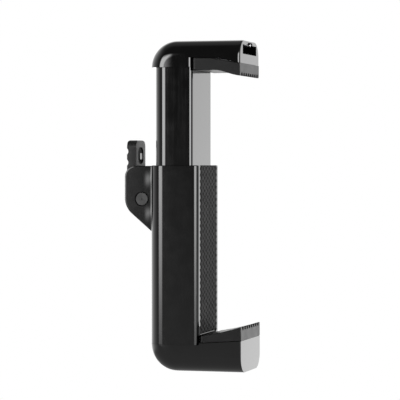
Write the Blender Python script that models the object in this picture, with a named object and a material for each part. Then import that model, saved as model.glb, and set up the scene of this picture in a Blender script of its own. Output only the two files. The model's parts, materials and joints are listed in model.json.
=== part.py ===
"""Phone clamp head of a selfie stick: a sprung, cam-locked sliding clamp.

Metres, +Z up along the slide. The flat underside of the bottom jaw is Z = 0, the jaws point to -Y
and the cam lever is on the +Y side. X runs across the width, with X = 0 in the middle. The clamp is
drawn fully open and locked.
"""
import math

import bmesh
import bpy
from mathutils import Vector

MM = 0.001
GAP = 0.3 * MM
ARC_STEPS = 6
ROUND_SIDES = 24

# Overall frame of the clamp
HALF_WIDTH = 14.0 * MM
BODY_BACK = 12.2 * MM
BODY_FRONT = -6.85 * MM
TIP_Y = -22.8 * MM
REAR_Y = 22.8 * MM
SEAM_Z = 9.9 * MM
HOUSING_TOP = 74.8 * MM
TOP_JAW_Z = 110.3 * MM
CLAMP_TOP = 120.0 * MM
SLIDE_TRAVEL = 34.0 * MM

# Rail, the hollow inner tube that carries the top jaw
RAIL_HALF_WIDTH = 12.7 * MM
RAIL_BACK = 10.6 * MM
RAIL_FRONT = -4.3 * MM
RAIL_BACK_RADIUS = 4.9 * MM
RAIL_FRONT_RADIUS = 1.4 * MM
RAIL_WALL = 1.6 * MM
RAIL_BOTTOM = 50.8 * MM
RAIL_TOP = TOP_JAW_Z - GAP
RAIL_END_WALL = 4.0 * MM
RAIL_MID_Y = (RAIL_BACK + RAIL_FRONT) / 2

# Housing, the outer tube with the two lever ears
HOUSING_BOTTOM = SEAM_Z + GAP
HOUSING_FLOOR_TOP = 13.8 * MM
HOUSING_BACK_RADIUS = 5.8 * MM
HOUSING_FRONT_RADIUS = 2.0 * MM
EAR_INNER = 6.1 * MM
EAR_OUTER = 8.3 * MM
EAR_TOP = 74.6 * MM
EAR_ROOT_Z = 50.4 * MM
EAR_SLOPE = 0.85
EAR_ROOT_Y = 11.75 * MM
EAR_TOP_RADIUS = 4.0 * MM
EAR_LOWER_RADIUS = 7.5 * MM

# Lever and its pin
PIN_Y = 16.2 * MM
PIN_Z = 62.5 * MM
PIN_HEAD_RADIUS = 2.4 * MM
PIN_HEAD_DEPTH = 1.0 * MM
PIN_SHANK_RADIUS = 1.5 * MM
LEVER_HALF_WIDTH = 5.75 * MM
LEVER_TOP = 84.0 * MM
LEVER_FRONT = 19.25 * MM
LEVER_SWING = math.radians(100.0)
CAM_LOCKED_RADIUS = 2.9 * MM
CAM_FREE_RADIUS = 2.4 * MM
NOTCH_LEVELS = (79.9 * MM, 75.8 * MM)
NOTCH_DEPTH = 0.75 * MM
NOTCH_RADIUS = 1.6 * MM
FINGER_HOLE_Z = 78.35 * MM
FINGER_HOLE_HALF_WIDTH = 2.9 * MM
FINGER_HOLE_HALF_HEIGHT = 2.95 * MM

# Brake shoe between the cam and the rail
SHOE_BACK = PIN_Y - CAM_LOCKED_RADIUS - GAP
SHOE_PLATE = 0.5 * MM
SHOE_WINDOW_HALF_WIDTH = 4.4 * MM
SHOE_WINDOW_HALF_HEIGHT = 3.8 * MM
FACING_THICKNESS = 0.6 * MM

# Jaws and their rubber pads
JAW_CORNER = 5.8 * MM
JAW_DRAFT = 0.1 * MM
JAW_TAPER = 0.5 * MM
JAW_TAPER_START = -2.0 * MM
JAW_TIP_ROUND = 0.5 * MM
TOP_ROOT_FRONT = -4.3 * MM
TOP_PAD_ROOT = -4.85 * MM
TOP_PAD_LEVEL = 113.7 * MM
TOP_PAD_BEND_Y = -12.65 * MM
TOP_PAD_SLOPE = 0.222
TOP_PAD_THICKNESS = 4.6 * MM
BOTTOM_PAD_ROOT = -7.65 * MM
BOTTOM_SHELL_ROOT_Z = 10.6 * MM
BOTTOM_SHELL_TIP_Z = 11.7 * MM
BOTTOM_PAD_MIDDLE_Y = -14.65 * MM
BOTTOM_PAD_LEVELS = (13.25 * MM, 14.55 * MM, 16.8 * MM)
SLOT_HALF_WIDTH = 9.4 * MM
SLOT_LOW = 114.95 * MM
SLOT_HIGH = 118.35 * MM
SLOT_DEPTH = 10.0 * MM
SLOT_NOTCH_LOW_X = -5.5 * MM
SLOT_NOTCH_HIGH_X = 4.0 * MM
SLOT_NOTCH_TOP = 119.3 * MM
SLOT_NOTCH_DEPTH = 1.2 * MM
CATCH_PIN_RADIUS = 0.5 * MM
CATCH_PIN_X = 1.4 * MM
CATCH_PIN_Z = 118.4 * MM
CATCH_PIN_RECESS = 0.3 * MM
CATCH_PIN_LENGTH = 3.5 * MM

# Textured pad on the front of the housing
BACK_PAD_HALF_WIDTH = 10.4 * MM
BACK_PAD_FACE = -7.15 * MM
BACK_PAD_RECESS = 0.4 * MM
BACK_PAD_BOTTOM = 13.8 * MM

# Fasteners, anchor pins, thread insert and spring
ANCHOR_RADIUS = 1.0 * MM
ANCHOR_HALF_LENGTH = 6.5 * MM
LOWER_ANCHOR_Z = 11.5 * MM
UPPER_ANCHOR_Z = 108.7 * MM
HOOK_HOLE = 2.6 * MM
HOOK_POCKET_DEPTH = 1.2 * MM
WIRE_RADIUS = 0.4 * MM
COIL_RADIUS = 3.0 * MM
COIL_TURNS = 15
COIL_POINTS_PER_TURN = 10
COIL_MARGIN = 6.0 * MM
SCREW_SHANK = 1.0 * MM
SCREW_HEAD = 1.9 * MM
SCREW_HEAD_HEIGHT = 1.4 * MM
JAW_SCREW_X = 6.6 * MM
BOTTOM_SCREW_Y = -0.5 * MM
BOTTOM_SCREW_HEAD_Z = 3.0 * MM
TOP_SCREW_X = 8.3 * MM
TOP_SCREW_DEPTH = 4.0 * MM
INSERT_Y = -6.0 * MM
INSERT_RADIUS = 4.5 * MM
INSERT_BORE = 3.175 * MM
INSERT_LENGTH = 6.5 * MM
STOP_SCREW_Z = 55.3 * MM
STOP_HEAD_RADIUS = 2.3 * MM
STOP_HEAD_THICKNESS = 1.0 * MM
FOOT_BOTTOM = 48.8 * MM
FOOT_SPIGOT_TOP = 52.8 * MM
FOOT_OPENING = (5.0 * MM, 4.2 * MM)

PLACES = {"X": (1, 2, 0), "Y": (0, 2, 1), "Z": (0, 1, 2)}


# ---------------------------------------------------------------- materials

def make_material(name, colour, roughness, metallic=0.0):
    """A Principled material with one colour."""
    material = bpy.data.materials.new(name)
    material.use_nodes = True
    shader = material.node_tree.nodes["Principled BSDF"]
    shader.inputs["Base Color"].default_value = (*colour, 1.0)
    shader.inputs["Roughness"].default_value = roughness
    shader.inputs["Metallic"].default_value = metallic
    return material


def make_materials():
    """Every material of the clamp, by slot name."""
    return {
        "gloss_shell": make_material("gloss_shell", (0.010, 0.010, 0.011), 0.18),
        "satin_shell": make_material("satin_shell", (0.014, 0.014, 0.015), 0.35),
        "rail_gloss": make_material("rail_gloss", (0.010, 0.010, 0.011), 0.12),
        "rubber": make_material("rubber", (0.022, 0.022, 0.022), 0.6),
        "lever_plastic": make_material("lever_plastic", (0.016, 0.016, 0.017), 0.4),
        "steel": make_material("steel", (0.55, 0.55, 0.56), 0.3, 1.0),
        "black_steel": make_material("black_steel", (0.06, 0.06, 0.065), 0.4, 1.0),
        "brass": make_material("brass", (0.72, 0.53, 0.24), 0.3, 1.0),
        "acetal": make_material("acetal", (0.55, 0.55, 0.53), 0.45),
    }


# ---------------------------------------------------------------- mesh tools

def point_at(axis, first, second, along):
    """A 3D point from two coordinates across an axis and one along it."""
    point = [0.0, 0.0, 0.0]
    for place, value in zip(PLACES[axis], (first, second, along)):
        point[place] = value
    return Vector(point)


def rounded_outline(corners, steps=ARC_STEPS):
    """A closed outline through (a, b, radius) corners, each one rounded by an arc."""
    outline = []
    for index, (a, b, radius) in enumerate(corners):
        corner = Vector((a, b))
        if radius == 0.0:
            outline.append((a, b))
            continue
        before = (Vector(corners[index - 1][:2]) - corner).normalized()
        after = (Vector(corners[(index + 1) % len(corners)][:2]) - corner).normalized()
        half_angle = before.angle(after) / 2
        centre = corner + (before + after).normalized() * (radius / math.sin(half_angle))
        reach = radius / math.tan(half_angle)
        start = corner + before * reach - centre
        end = corner + after * reach - centre
        start_angle = math.atan2(start.y, start.x)
        turn = math.atan2(start.x * end.y - start.y * end.x, start.dot(end))
        for step in range(steps + 1):
            angle = start_angle + turn * step / steps
            outline.append((centre.x + radius * math.cos(angle), centre.y + radius * math.sin(angle)))
    return outline


def tube_outline(half_width, front, back, front_radius, back_radius):
    """The XY outline of the housing, the rail and their hollows."""
    return rounded_outline([
        (-half_width, front, front_radius), (half_width, front, front_radius),
        (half_width, back, back_radius), (-half_width, back, back_radius)])


def circle(centre, radius, sides=ROUND_SIDES):
    """A round outline about a centre (a, b)."""
    turns = [2 * math.pi * side / sides for side in range(sides)]
    return [(centre[0] + radius * math.cos(turn), centre[1] + radius * math.sin(turn)) for turn in turns]


def make_object(name, mesh_data, material, frame, smooth_angle=30.0):
    """An object from a bmesh in world coordinates, hung on the frame empty of its body."""
    bmesh.ops.translate(mesh_data, verts=mesh_data.verts, vec=-frame.location)
    bmesh.ops.recalc_face_normals(mesh_data, faces=mesh_data.faces)
    mesh = bpy.data.meshes.new(name)
    mesh_data.to_mesh(mesh)
    mesh_data.free()
    mesh.shade_smooth()
    mesh.set_sharp_from_angle(angle=math.radians(smooth_angle))
    if material:
        mesh.materials.append(material)
    piece = bpy.data.objects.new(name, mesh)
    piece.parent = frame
    bpy.context.collection.objects.link(piece)
    return piece


def loft(name, rings, material, frame, merge=False):
    """One closed solid through rings of equal length, capped at both ends."""
    mesh_data = bmesh.new()
    levels = [[mesh_data.verts.new(point) for point in ring] for ring in rings]
    for lower, upper in zip(levels, levels[1:]):
        for index in range(len(lower)):
            following = (index + 1) % len(lower)
            mesh_data.faces.new((lower[index], lower[following], upper[following], upper[index]))
    mesh_data.faces.new(levels[0])
    mesh_data.faces.new(levels[-1])
    if merge:
        bmesh.ops.remove_doubles(mesh_data, verts=mesh_data.verts, dist=0.001 * MM)
    return make_object(name, mesh_data, material, frame)


def extrude(name, axis, outline, low, high, material, frame):
    """An outline extruded along an axis."""
    rings = [[point_at(axis, a, b, along) for a, b in outline] for along in (low, high)]
    return loft(name, rings, material, frame)


def turned(name, axis, centre, profile, material, frame):
    """A turned piece: (position along the axis, radius) pairs about a centre (a, b)."""
    rings = [[point_at(axis, a, b, along) for a, b in circle(centre, radius)] for along, radius in profile]
    return loft(name, rings, material, frame)


def cut(piece, cutter, operation="DIFFERENCE"):
    """Cut a piece by a hidden cutter, or join a hidden block to it."""
    cutter.hide_render = True
    cutter.display_type = "WIRE"
    modifier = piece.modifiers.new(cutter.name, "BOOLEAN")
    modifier.operation = operation
    modifier.object = cutter
    modifier.solver = "EXACT"


def cut_box(piece, name, low, high, frame):
    """Cut an upright box, given by its lowest and highest corners."""
    outline = [(low[0], low[1]), (high[0], low[1]), (high[0], high[1]), (low[0], high[1])]
    cut(piece, extrude(name, "Z", outline, low[2], high[2], None, frame))


def cut_round(piece, name, axis, centre, radius, low, high, frame):
    """Drill a round hole along an axis."""
    cut(piece, extrude(name, axis, circle(centre, radius), low, high, None, frame))


def make_frame(name, location):
    """An empty on which the pieces of one body hang."""
    frame = bpy.data.objects.new(name, None)
    frame.empty_display_size = 5 * MM
    frame.location = location
    bpy.context.collection.objects.link(frame)
    return frame


# ---------------------------------------------------------------- lower clamp

def make_housing(frame, materials):
    """The outer tube with its floor, lever ears, pad recess, stop slot and shoe window."""
    outer = tube_outline(HALF_WIDTH, BODY_FRONT, BODY_BACK, HOUSING_FRONT_RADIUS, HOUSING_BACK_RADIUS)
    housing = extrude("housing", "Z", outer, HOUSING_BOTTOM, HOUSING_TOP, materials["satin_shell"], frame)
    for side, name in ((-1, "left"), (1, "right")):
        faces = sorted((side * EAR_INNER, side * EAR_OUTER))
        cut(housing, extrude(f"ear_{name}", "X", ear_outline(), faces[0], faces[1], None, frame), "UNION")
    hollow = tube_outline(RAIL_HALF_WIDTH + GAP, RAIL_FRONT - GAP, RAIL_BACK + GAP,
                          RAIL_FRONT_RADIUS + GAP, RAIL_BACK_RADIUS + GAP)
    cut(housing, extrude("housing_hollow", "Z", hollow, HOUSING_FLOOR_TOP, HOUSING_TOP + MM, None, frame))
    recess_half = BACK_PAD_HALF_WIDTH + GAP
    cut_box(housing, "pad_recess", (-recess_half, BODY_FRONT - MM, BACK_PAD_BOTTOM - GAP),
            (recess_half, BODY_FRONT + BACK_PAD_RECESS, HOUSING_TOP + MM), frame)
    slot_half = STOP_HEAD_RADIUS + GAP
    slot_low = STOP_SCREW_Z - SLIDE_TRAVEL - slot_half
    cut_box(housing, "stop_slot", (-slot_half, BODY_FRONT - MM, slot_low),
            (slot_half, RAIL_FRONT, STOP_SCREW_Z + slot_half), frame)
    cut_box(housing, "shoe_window",
            (-SHOE_WINDOW_HALF_WIDTH, RAIL_BACK, PIN_Z - SHOE_WINDOW_HALF_HEIGHT),
            (SHOE_WINDOW_HALF_WIDTH, BODY_BACK + 0.1 * MM, PIN_Z + SHOE_WINDOW_HALF_HEIGHT), frame)
    cut_round(housing, "pin_hole", "X", (PIN_Y, PIN_Z), PIN_SHANK_RADIUS + GAP,
              -EAR_OUTER - MM, EAR_OUTER + MM, frame)
    for side, name in ((-1, "left"), (1, "right")):
        bore = sorted((side * (EAR_OUTER - PIN_HEAD_DEPTH - GAP), side * (EAR_OUTER + MM)))
        cut_round(housing, f"pin_head_seat_{name}", "X", (PIN_Y, PIN_Z), PIN_HEAD_RADIUS + GAP,
                  bore[0], bore[1], frame)
        cut_round(housing, f"floor_screw_hole_{name}", "Z", (side * JAW_SCREW_X, BOTTOM_SCREW_Y),
                  SCREW_SHANK + GAP, HOUSING_BOTTOM - MM, HOUSING_FLOOR_TOP + MM, frame)
    cut_anchor_seat(housing, "lower_anchor", HOUSING_BOTTOM - MM, LOWER_ANCHOR_Z + ANCHOR_RADIUS + GAP,
                    (HOUSING_BOTTOM - MM, HOUSING_FLOOR_TOP + MM), frame)
    return housing


def ear_outline():
    """The YZ outline of one ear: flat top, upright rear edge and slanted underside."""
    slant_root = EAR_ROOT_Z + EAR_SLOPE * (EAR_ROOT_Y - BODY_BACK)
    slant_rear = EAR_ROOT_Z + EAR_SLOPE * (REAR_Y - BODY_BACK)
    return rounded_outline([
        (EAR_ROOT_Y, slant_root, 0.0), (REAR_Y, slant_rear, EAR_LOWER_RADIUS),
        (REAR_Y, EAR_TOP, EAR_TOP_RADIUS), (EAR_ROOT_Y, EAR_TOP, 0.0)])


def cut_anchor_seat(piece, name, groove_low, groove_high, hole, frame):
    """A groove for a spring anchor pin, and the hole that the spring's hook passes through."""
    groove = ANCHOR_RADIUS + GAP
    length = ANCHOR_HALF_LENGTH + GAP
    cut_box(piece, f"{name}_groove", (-length, RAIL_MID_Y - groove, groove_low),
            (length, RAIL_MID_Y + groove, groove_high), frame)
    cut_round(piece, f"{name}_hook_hole", "Z", (0.0, RAIL_MID_Y), HOOK_HOLE, hole[0], hole[1], frame)


def make_back_pad(frame, materials):
    """The rubber pad on the front of the housing, which the phone's back rests on."""
    inner = BODY_FRONT + BACK_PAD_RECESS - GAP
    outline = tube_outline(BACK_PAD_HALF_WIDTH, BACK_PAD_FACE, inner, 0.35 * MM, 0.1 * MM)
    return extrude("back_pad", "Z", outline, BACK_PAD_BOTTOM, HOUSING_TOP, materials["rubber"], frame)


def jaw_section(half_width, height):
    """A D-shaped jaw section: flat on the inside, round at both outer corners."""
    narrow = half_width - JAW_DRAFT
    return rounded_outline([
        (-half_width, 0.0, 0.0), (-narrow, height, JAW_CORNER),
        (narrow, height, JAW_CORNER), (half_width, 0.0, 0.0)])


def jaw_half_width(y):
    """The half width of a jaw, which narrows from its root to its tip."""
    along = max(0.0, (JAW_TAPER_START - y) / (JAW_TAPER_START - TIP_Y))
    return HALF_WIDTH - JAW_TAPER * along


def jaw_rings(root_z, outward, height_at, straight_levels):
    """Rings of a jaw: a quarter turn at the back, a straight run and a softened tip."""
    height = height_at(0.0)
    bend_y = BODY_BACK - height
    rings = []
    bend_steps = 8
    for step in range(bend_steps + 1):
        turn = math.pi / 2 * step / bend_steps
        rings.append([
            Vector((x, bend_y + h * math.cos(turn), root_z + outward * h * math.sin(turn)))
            for x, h in jaw_section(HALF_WIDTH, height)])
    outer_z = root_z + outward * height
    for y in straight_levels:
        section = jaw_section(jaw_half_width(y), height_at(y))
        rings.append([Vector((x, y, outer_z + outward * (h - height_at(y)))) for x, h in section])
    inset = JAW_TIP_ROUND * 0.3
    for y, side, back in ((TIP_Y + JAW_TIP_ROUND, 0.0, 0.0), (TIP_Y + inset, inset, inset),
                          (TIP_Y, JAW_TIP_ROUND, JAW_TIP_ROUND * 0.5)):
        section = jaw_section(jaw_half_width(y) - side, height_at(y) - back)
        base = outer_z - outward * height_at(y)
        rings.append([Vector((x, y, base + outward * h)) for x, h in section])
    return rings


def make_bottom_jaw(frame, materials):
    """The lower L-shaped shell, which also closes the bottom of the housing."""
    def height_at(y):
        if y > BODY_FRONT:
            return SEAM_Z
        along = (y - BOTTOM_PAD_ROOT) / (TIP_Y - BOTTOM_PAD_ROOT)
        level = BOTTOM_SHELL_ROOT_Z + (BOTTOM_SHELL_TIP_Z - BOTTOM_SHELL_ROOT_Z) * along
        return max(SEAM_Z, level)

    levels = (JAW_TAPER_START, BODY_FRONT + 0.01 * MM, BOTTOM_PAD_ROOT, BOTTOM_PAD_MIDDLE_Y)
    jaw = loft("bottom_jaw", jaw_rings(SEAM_Z, -1, height_at, levels), materials["gloss_shell"], frame, True)
    cut_box(jaw, "lower_hook_pocket", (-HOOK_HOLE, RAIL_MID_Y - HOOK_HOLE, SEAM_Z - HOOK_POCKET_DEPTH),
            (HOOK_HOLE, RAIL_MID_Y + HOOK_HOLE, SEAM_Z + MM), frame)
    cut_round(jaw, "insert_seat", "Z", (0.0, INSERT_Y), INSERT_RADIUS + GAP, -MM,
              INSERT_LENGTH + 2 * GAP, frame)
    for side, name in ((-1, "left"), (1, "right")):
        centre = (side * JAW_SCREW_X, BOTTOM_SCREW_Y)
        seat = BOTTOM_SCREW_HEAD_Z + SCREW_HEAD_HEIGHT + GAP
        cut_round(jaw, f"bottom_screw_seat_{name}", "Z", centre, SCREW_HEAD + GAP, -MM, seat, frame)
        cut_round(jaw, f"bottom_screw_hole_{name}", "Z", centre, SCREW_SHANK + GAP, -MM, SEAM_Z + MM, frame)
    return jaw


def pad_ring(y, low, high, half_width, radius):
    """One upright ring of a jaw pad."""
    outline = rounded_outline([
        (-half_width, low, radius), (half_width, low, radius),
        (half_width, high, radius), (-half_width, high, radius)], steps=2)
    return [Vector((x, y, z)) for x, z in outline]


def make_bottom_jaw_pad(frame, materials):
    """The wedge of rubber on the bottom jaw."""
    rings = []
    span = TIP_Y - BOTTOM_PAD_ROOT
    for y, high in zip((BOTTOM_PAD_ROOT, BOTTOM_PAD_MIDDLE_Y, TIP_Y), BOTTOM_PAD_LEVELS):
        along = (y - BOTTOM_PAD_ROOT) / span
        shell = BOTTOM_SHELL_ROOT_Z + (BOTTOM_SHELL_TIP_Z - BOTTOM_SHELL_ROOT_Z) * along
        rings.append(pad_ring(y, shell + GAP, high, jaw_half_width(y) - 0.1 * MM, 0.4 * MM))
    return loft("bottom_jaw_pad", rings, materials["rubber"], frame)


def make_thread_insert(frame, materials):
    """The brass insert with the 1/4 inch bore, open at both ends."""
    centre = (0.0, INSERT_Y)
    insert = turned("thread_insert", "Z", centre,
                    [(GAP, INSERT_RADIUS - 0.4 * MM), (0.7 * MM, INSERT_RADIUS),
                     (INSERT_LENGTH, INSERT_RADIUS)], materials["brass"], frame)
    cut_round(insert, "thread_bore", "Z", centre, INSERT_BORE, -MM, INSERT_LENGTH + MM, frame)
    return insert


def make_screw(name, axis, centre, head, shank_end, radii, material, frame):
    """A screw: a head from head[0] to head[1], and a shank on to shank_end."""
    head_radius, shank_radius = radii
    return turned(name, axis, centre, [(head[0], head_radius), (head[1], head_radius),
                                       (head[1], shank_radius), (shank_end, shank_radius)], material, frame)


def make_bottom_jaw_screws(frame, materials):
    """The two screws that hold the bottom jaw to the housing floor."""
    head = (BOTTOM_SCREW_HEAD_Z, BOTTOM_SCREW_HEAD_Z + SCREW_HEAD_HEIGHT)
    for side, name in ((-1, "left"), (1, "right")):
        make_screw(f"bottom_jaw_screw_{name}", "Z", (side * JAW_SCREW_X, BOTTOM_SCREW_Y), head,
                   HOUSING_FLOOR_TOP - GAP, (SCREW_HEAD, SCREW_SHANK), materials["black_steel"], frame)


def make_anchor(name, z, frame, materials):
    """A cross pin that one end of the spring hooks on."""
    return turned(name, "X", (RAIL_MID_Y, z), [(-ANCHOR_HALF_LENGTH, ANCHOR_RADIUS),
                                               (ANCHOR_HALF_LENGTH, ANCHOR_RADIUS)], materials["steel"], frame)


def make_lever_pin(frame, materials):
    """The headed pin through both ears and the lever."""
    shoulder = EAR_OUTER - PIN_HEAD_DEPTH
    profile = [(-EAR_OUTER, PIN_HEAD_RADIUS), (-shoulder, PIN_HEAD_RADIUS), (-shoulder, PIN_SHANK_RADIUS),
               (shoulder, PIN_SHANK_RADIUS), (shoulder, PIN_HEAD_RADIUS), (EAR_OUTER, PIN_HEAD_RADIUS)]
    return turned("lever_pin", "X", (PIN_Y, PIN_Z), profile, materials["black_steel"], frame)


# ---------------------------------------------------------------- slider

def make_rail(frame, materials):
    """The hollow rail, closed at the top by the wall that the top jaw is screwed to."""
    outer = tube_outline(RAIL_HALF_WIDTH, RAIL_FRONT, RAIL_BACK, RAIL_FRONT_RADIUS, RAIL_BACK_RADIUS)
    rail = extrude("rail", "Z", outer, RAIL_BOTTOM, RAIL_TOP, materials["rail_gloss"], frame)
    hollow = tube_outline(RAIL_HALF_WIDTH - RAIL_WALL, RAIL_FRONT + RAIL_WALL, RAIL_BACK - RAIL_WALL,
                          0.6 * MM, RAIL_BACK_RADIUS - RAIL_WALL)
    ceiling = RAIL_TOP - RAIL_END_WALL
    cut(rail, extrude("rail_hollow", "Z", hollow, RAIL_BOTTOM - MM, ceiling, None, frame))
    cut_round(rail, "stop_screw_hole", "Y", (0.0, STOP_SCREW_Z), SCREW_SHANK + GAP,
              RAIL_FRONT - MM, RAIL_FRONT + RAIL_WALL + MM, frame)
    for side, name in ((-1, "left"), (1, "right")):
        cut_round(rail, f"top_screw_hole_{name}", "Z", (side * TOP_SCREW_X, RAIL_MID_Y),
                  SCREW_SHANK + GAP, ceiling - MM, RAIL_TOP + MM, frame)
    cut_anchor_seat(rail, "upper_anchor", UPPER_ANCHOR_Z - ANCHOR_RADIUS - GAP, RAIL_TOP + MM,
                    (ceiling - MM, RAIL_TOP + MM), frame)
    return rail


def make_rail_foot(frame, materials):
    """The acetal glide at the lower end of the rail, with a spigot inside the rail."""
    outer = tube_outline(RAIL_HALF_WIDTH, RAIL_FRONT, RAIL_BACK, RAIL_FRONT_RADIUS, RAIL_BACK_RADIUS)
    foot = extrude("rail_foot", "Z", outer, FOOT_BOTTOM, RAIL_BOTTOM - GAP, materials["acetal"], frame)
    inset = RAIL_WALL + GAP
    spigot = tube_outline(RAIL_HALF_WIDTH - inset, RAIL_FRONT + inset, RAIL_BACK - inset,
                          0.4 * MM, RAIL_BACK_RADIUS - inset)
    cut(foot, extrude("foot_spigot", "Z", spigot, FOOT_BOTTOM + MM, FOOT_SPIGOT_TOP, None, frame), "UNION")
    cut_box(foot, "foot_opening",
            (-FOOT_OPENING[0], RAIL_MID_Y - FOOT_OPENING[1], FOOT_BOTTOM - MM),
            (FOOT_OPENING[0], RAIL_MID_Y + FOOT_OPENING[1], FOOT_SPIGOT_TOP + MM), frame)
    return foot


def make_top_jaw(frame, materials):
    """The upper L-shaped shell, with a pad bed below and an accessory slot in its end face."""
    def height_at(y):
        return CLAMP_TOP - TOP_JAW_Z

    levels = (JAW_TAPER_START, TOP_PAD_ROOT, TOP_PAD_BEND_Y)
    jaw = loft("top_jaw", jaw_rings(TOP_JAW_Z, 1, height_at, levels), materials["gloss_shell"], frame, True)
    below = TOP_JAW_Z - MM
    past_tip = TIP_Y - MM
    bed_tip = TOP_PAD_LEVEL - TOP_PAD_SLOPE * (TOP_PAD_BEND_Y - past_tip)
    bed = [(TOP_ROOT_FRONT, below), (TOP_ROOT_FRONT, TOP_PAD_LEVEL), (TOP_PAD_BEND_Y, TOP_PAD_LEVEL),
           (past_tip, bed_tip), (past_tip, below)]
    wide = HALF_WIDTH + MM
    cut(jaw, extrude("top_pad_bed", "X", bed, -wide, wide, None, frame))
    cut_box(jaw, "accessory_slot", (-SLOT_HALF_WIDTH, past_tip, SLOT_LOW),
            (SLOT_HALF_WIDTH, TIP_Y + SLOT_DEPTH, SLOT_HIGH), frame)
    cut_box(jaw, "slot_notch", (SLOT_NOTCH_LOW_X, past_tip, SLOT_HIGH - 0.2 * MM),
            (SLOT_NOTCH_HIGH_X, TIP_Y + SLOT_NOTCH_DEPTH, SLOT_NOTCH_TOP), frame)
    cut_round(jaw, "catch_pin_hole", "Y", (CATCH_PIN_X, CATCH_PIN_Z), CATCH_PIN_RADIUS + GAP,
              past_tip, TIP_Y + CATCH_PIN_RECESS + CATCH_PIN_LENGTH + GAP, frame)
    cut_box(jaw, "upper_hook_pocket", (-HOOK_HOLE, RAIL_MID_Y - HOOK_HOLE, below),
            (HOOK_HOLE, RAIL_MID_Y + HOOK_HOLE, TOP_JAW_Z + HOOK_POCKET_DEPTH), frame)
    for side, name in ((-1, "left"), (1, "right")):
        cut_round(jaw, f"top_jaw_pilot_{name}", "Z", (side * TOP_SCREW_X, RAIL_MID_Y),
                  SCREW_SHANK + GAP, below, TOP_JAW_Z + TOP_SCREW_DEPTH + GAP, frame)
    return jaw


def make_top_jaw_pad(frame, materials):
    """The rubber pad under the top jaw, bent down towards its tip."""
    rings = []
    for y in (TOP_PAD_ROOT, TOP_PAD_BEND_Y, TIP_Y):
        bed = TOP_PAD_LEVEL - TOP_PAD_SLOPE * max(0.0, TOP_PAD_BEND_Y - y)
        low = bed - TOP_PAD_THICKNESS
        rings.append(pad_ring(y, low, bed - GAP, jaw_half_width(y) - 0.1 * MM, 0.4 * MM))
    return loft("top_jaw_pad", rings, materials["rubber"], frame)


def make_top_jaw_screws(frame, materials):
    """The two screws inside the rail that hold the top jaw to the rail's end wall."""
    ceiling = RAIL_TOP - RAIL_END_WALL
    head = (ceiling - GAP - SCREW_HEAD_HEIGHT, ceiling - GAP)
    for side, name in ((-1, "left"), (1, "right")):
        make_screw(f"top_jaw_screw_{name}", "Z", (side * TOP_SCREW_X, RAIL_MID_Y), head,
                   TOP_JAW_Z + TOP_SCREW_DEPTH, (SCREW_HEAD, SCREW_SHANK), materials["black_steel"], frame)


def make_stop_screw(frame, materials):
    """The screw in the front of the rail, whose head stops the rail at the ends of its slot."""
    head = (RAIL_FRONT - GAP - STOP_HEAD_THICKNESS, RAIL_FRONT - GAP)
    return make_screw("stop_screw", "Y", (0.0, STOP_SCREW_Z), head, RAIL_FRONT + RAIL_WALL + MM,
                      (STOP_HEAD_RADIUS, SCREW_SHANK), materials["black_steel"], frame)


def make_slot_catch_pin(frame, materials):
    """The small steel pin in the notch over the accessory slot, with a domed end."""
    face = TIP_Y + CATCH_PIN_RECESS
    return turned("slot_catch_pin", "Y", (CATCH_PIN_X, CATCH_PIN_Z),
                  [(face, CATCH_PIN_RADIUS * 0.5), (face + 0.1 * MM, CATCH_PIN_RADIUS * 0.85),
                   (face + 0.3 * MM, CATCH_PIN_RADIUS), (face + CATCH_PIN_LENGTH, CATCH_PIN_RADIUS)],
                  materials["steel"], frame)


# ---------------------------------------------------------------- lever and brake

def lever_outline():
    """The YZ outline of the lever: a cam about the pin, and an upright tab with a scalloped back."""
    outline = []
    cam_steps = 12
    for step in range(cam_steps + 1):
        turn = LEVER_SWING * step / cam_steps
        radius = CAM_LOCKED_RADIUS - (CAM_LOCKED_RADIUS - CAM_FREE_RADIUS) * step / cam_steps
        outline.append((PIN_Y - radius * math.cos(turn), PIN_Z - radius * math.sin(turn)))
    heel_y, heel_z = outline[-1]
    heel_rise = 4.2 * MM
    heel_steps = 6
    for step in range(1, heel_steps + 1):
        turn = math.pi / 2 * step / heel_steps
        outline.append((heel_y + (REAR_Y - heel_y) * math.sin(turn), heel_z + heel_rise * (1 - math.cos(turn))))
    half_chord = math.sqrt(NOTCH_RADIUS ** 2 - (NOTCH_RADIUS - NOTCH_DEPTH) ** 2)
    notch_steps = 6
    for level in sorted(NOTCH_LEVELS):
        reach = math.asin(half_chord / NOTCH_RADIUS)
        for step in range(notch_steps + 1):
            turn = -reach + 2 * reach * step / notch_steps
            outline.append((REAR_Y - NOTCH_RADIUS * math.cos(turn) + NOTCH_RADIUS - NOTCH_DEPTH,
                            level + NOTCH_RADIUS * math.sin(turn)))
    outline += rounded_outline([(REAR_Y, LEVER_TOP - 2 * MM, 0.0), (REAR_Y, LEVER_TOP, 0.8 * MM),
                                (LEVER_FRONT, LEVER_TOP, 0.8 * MM), (LEVER_FRONT, LEVER_TOP - 2 * MM, 0.0)])
    neck_z = PIN_Z + 5.5 * MM
    outline.append((LEVER_FRONT, neck_z))
    hub_steps = 6
    hub_start = math.radians(75.0)
    for step in range(hub_steps):
        turn = hub_start + (math.pi - hub_start) * step / hub_steps
        outline.append((PIN_Y + CAM_LOCKED_RADIUS * math.cos(turn), PIN_Z + CAM_LOCKED_RADIUS * math.sin(turn)))
    return outline


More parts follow.
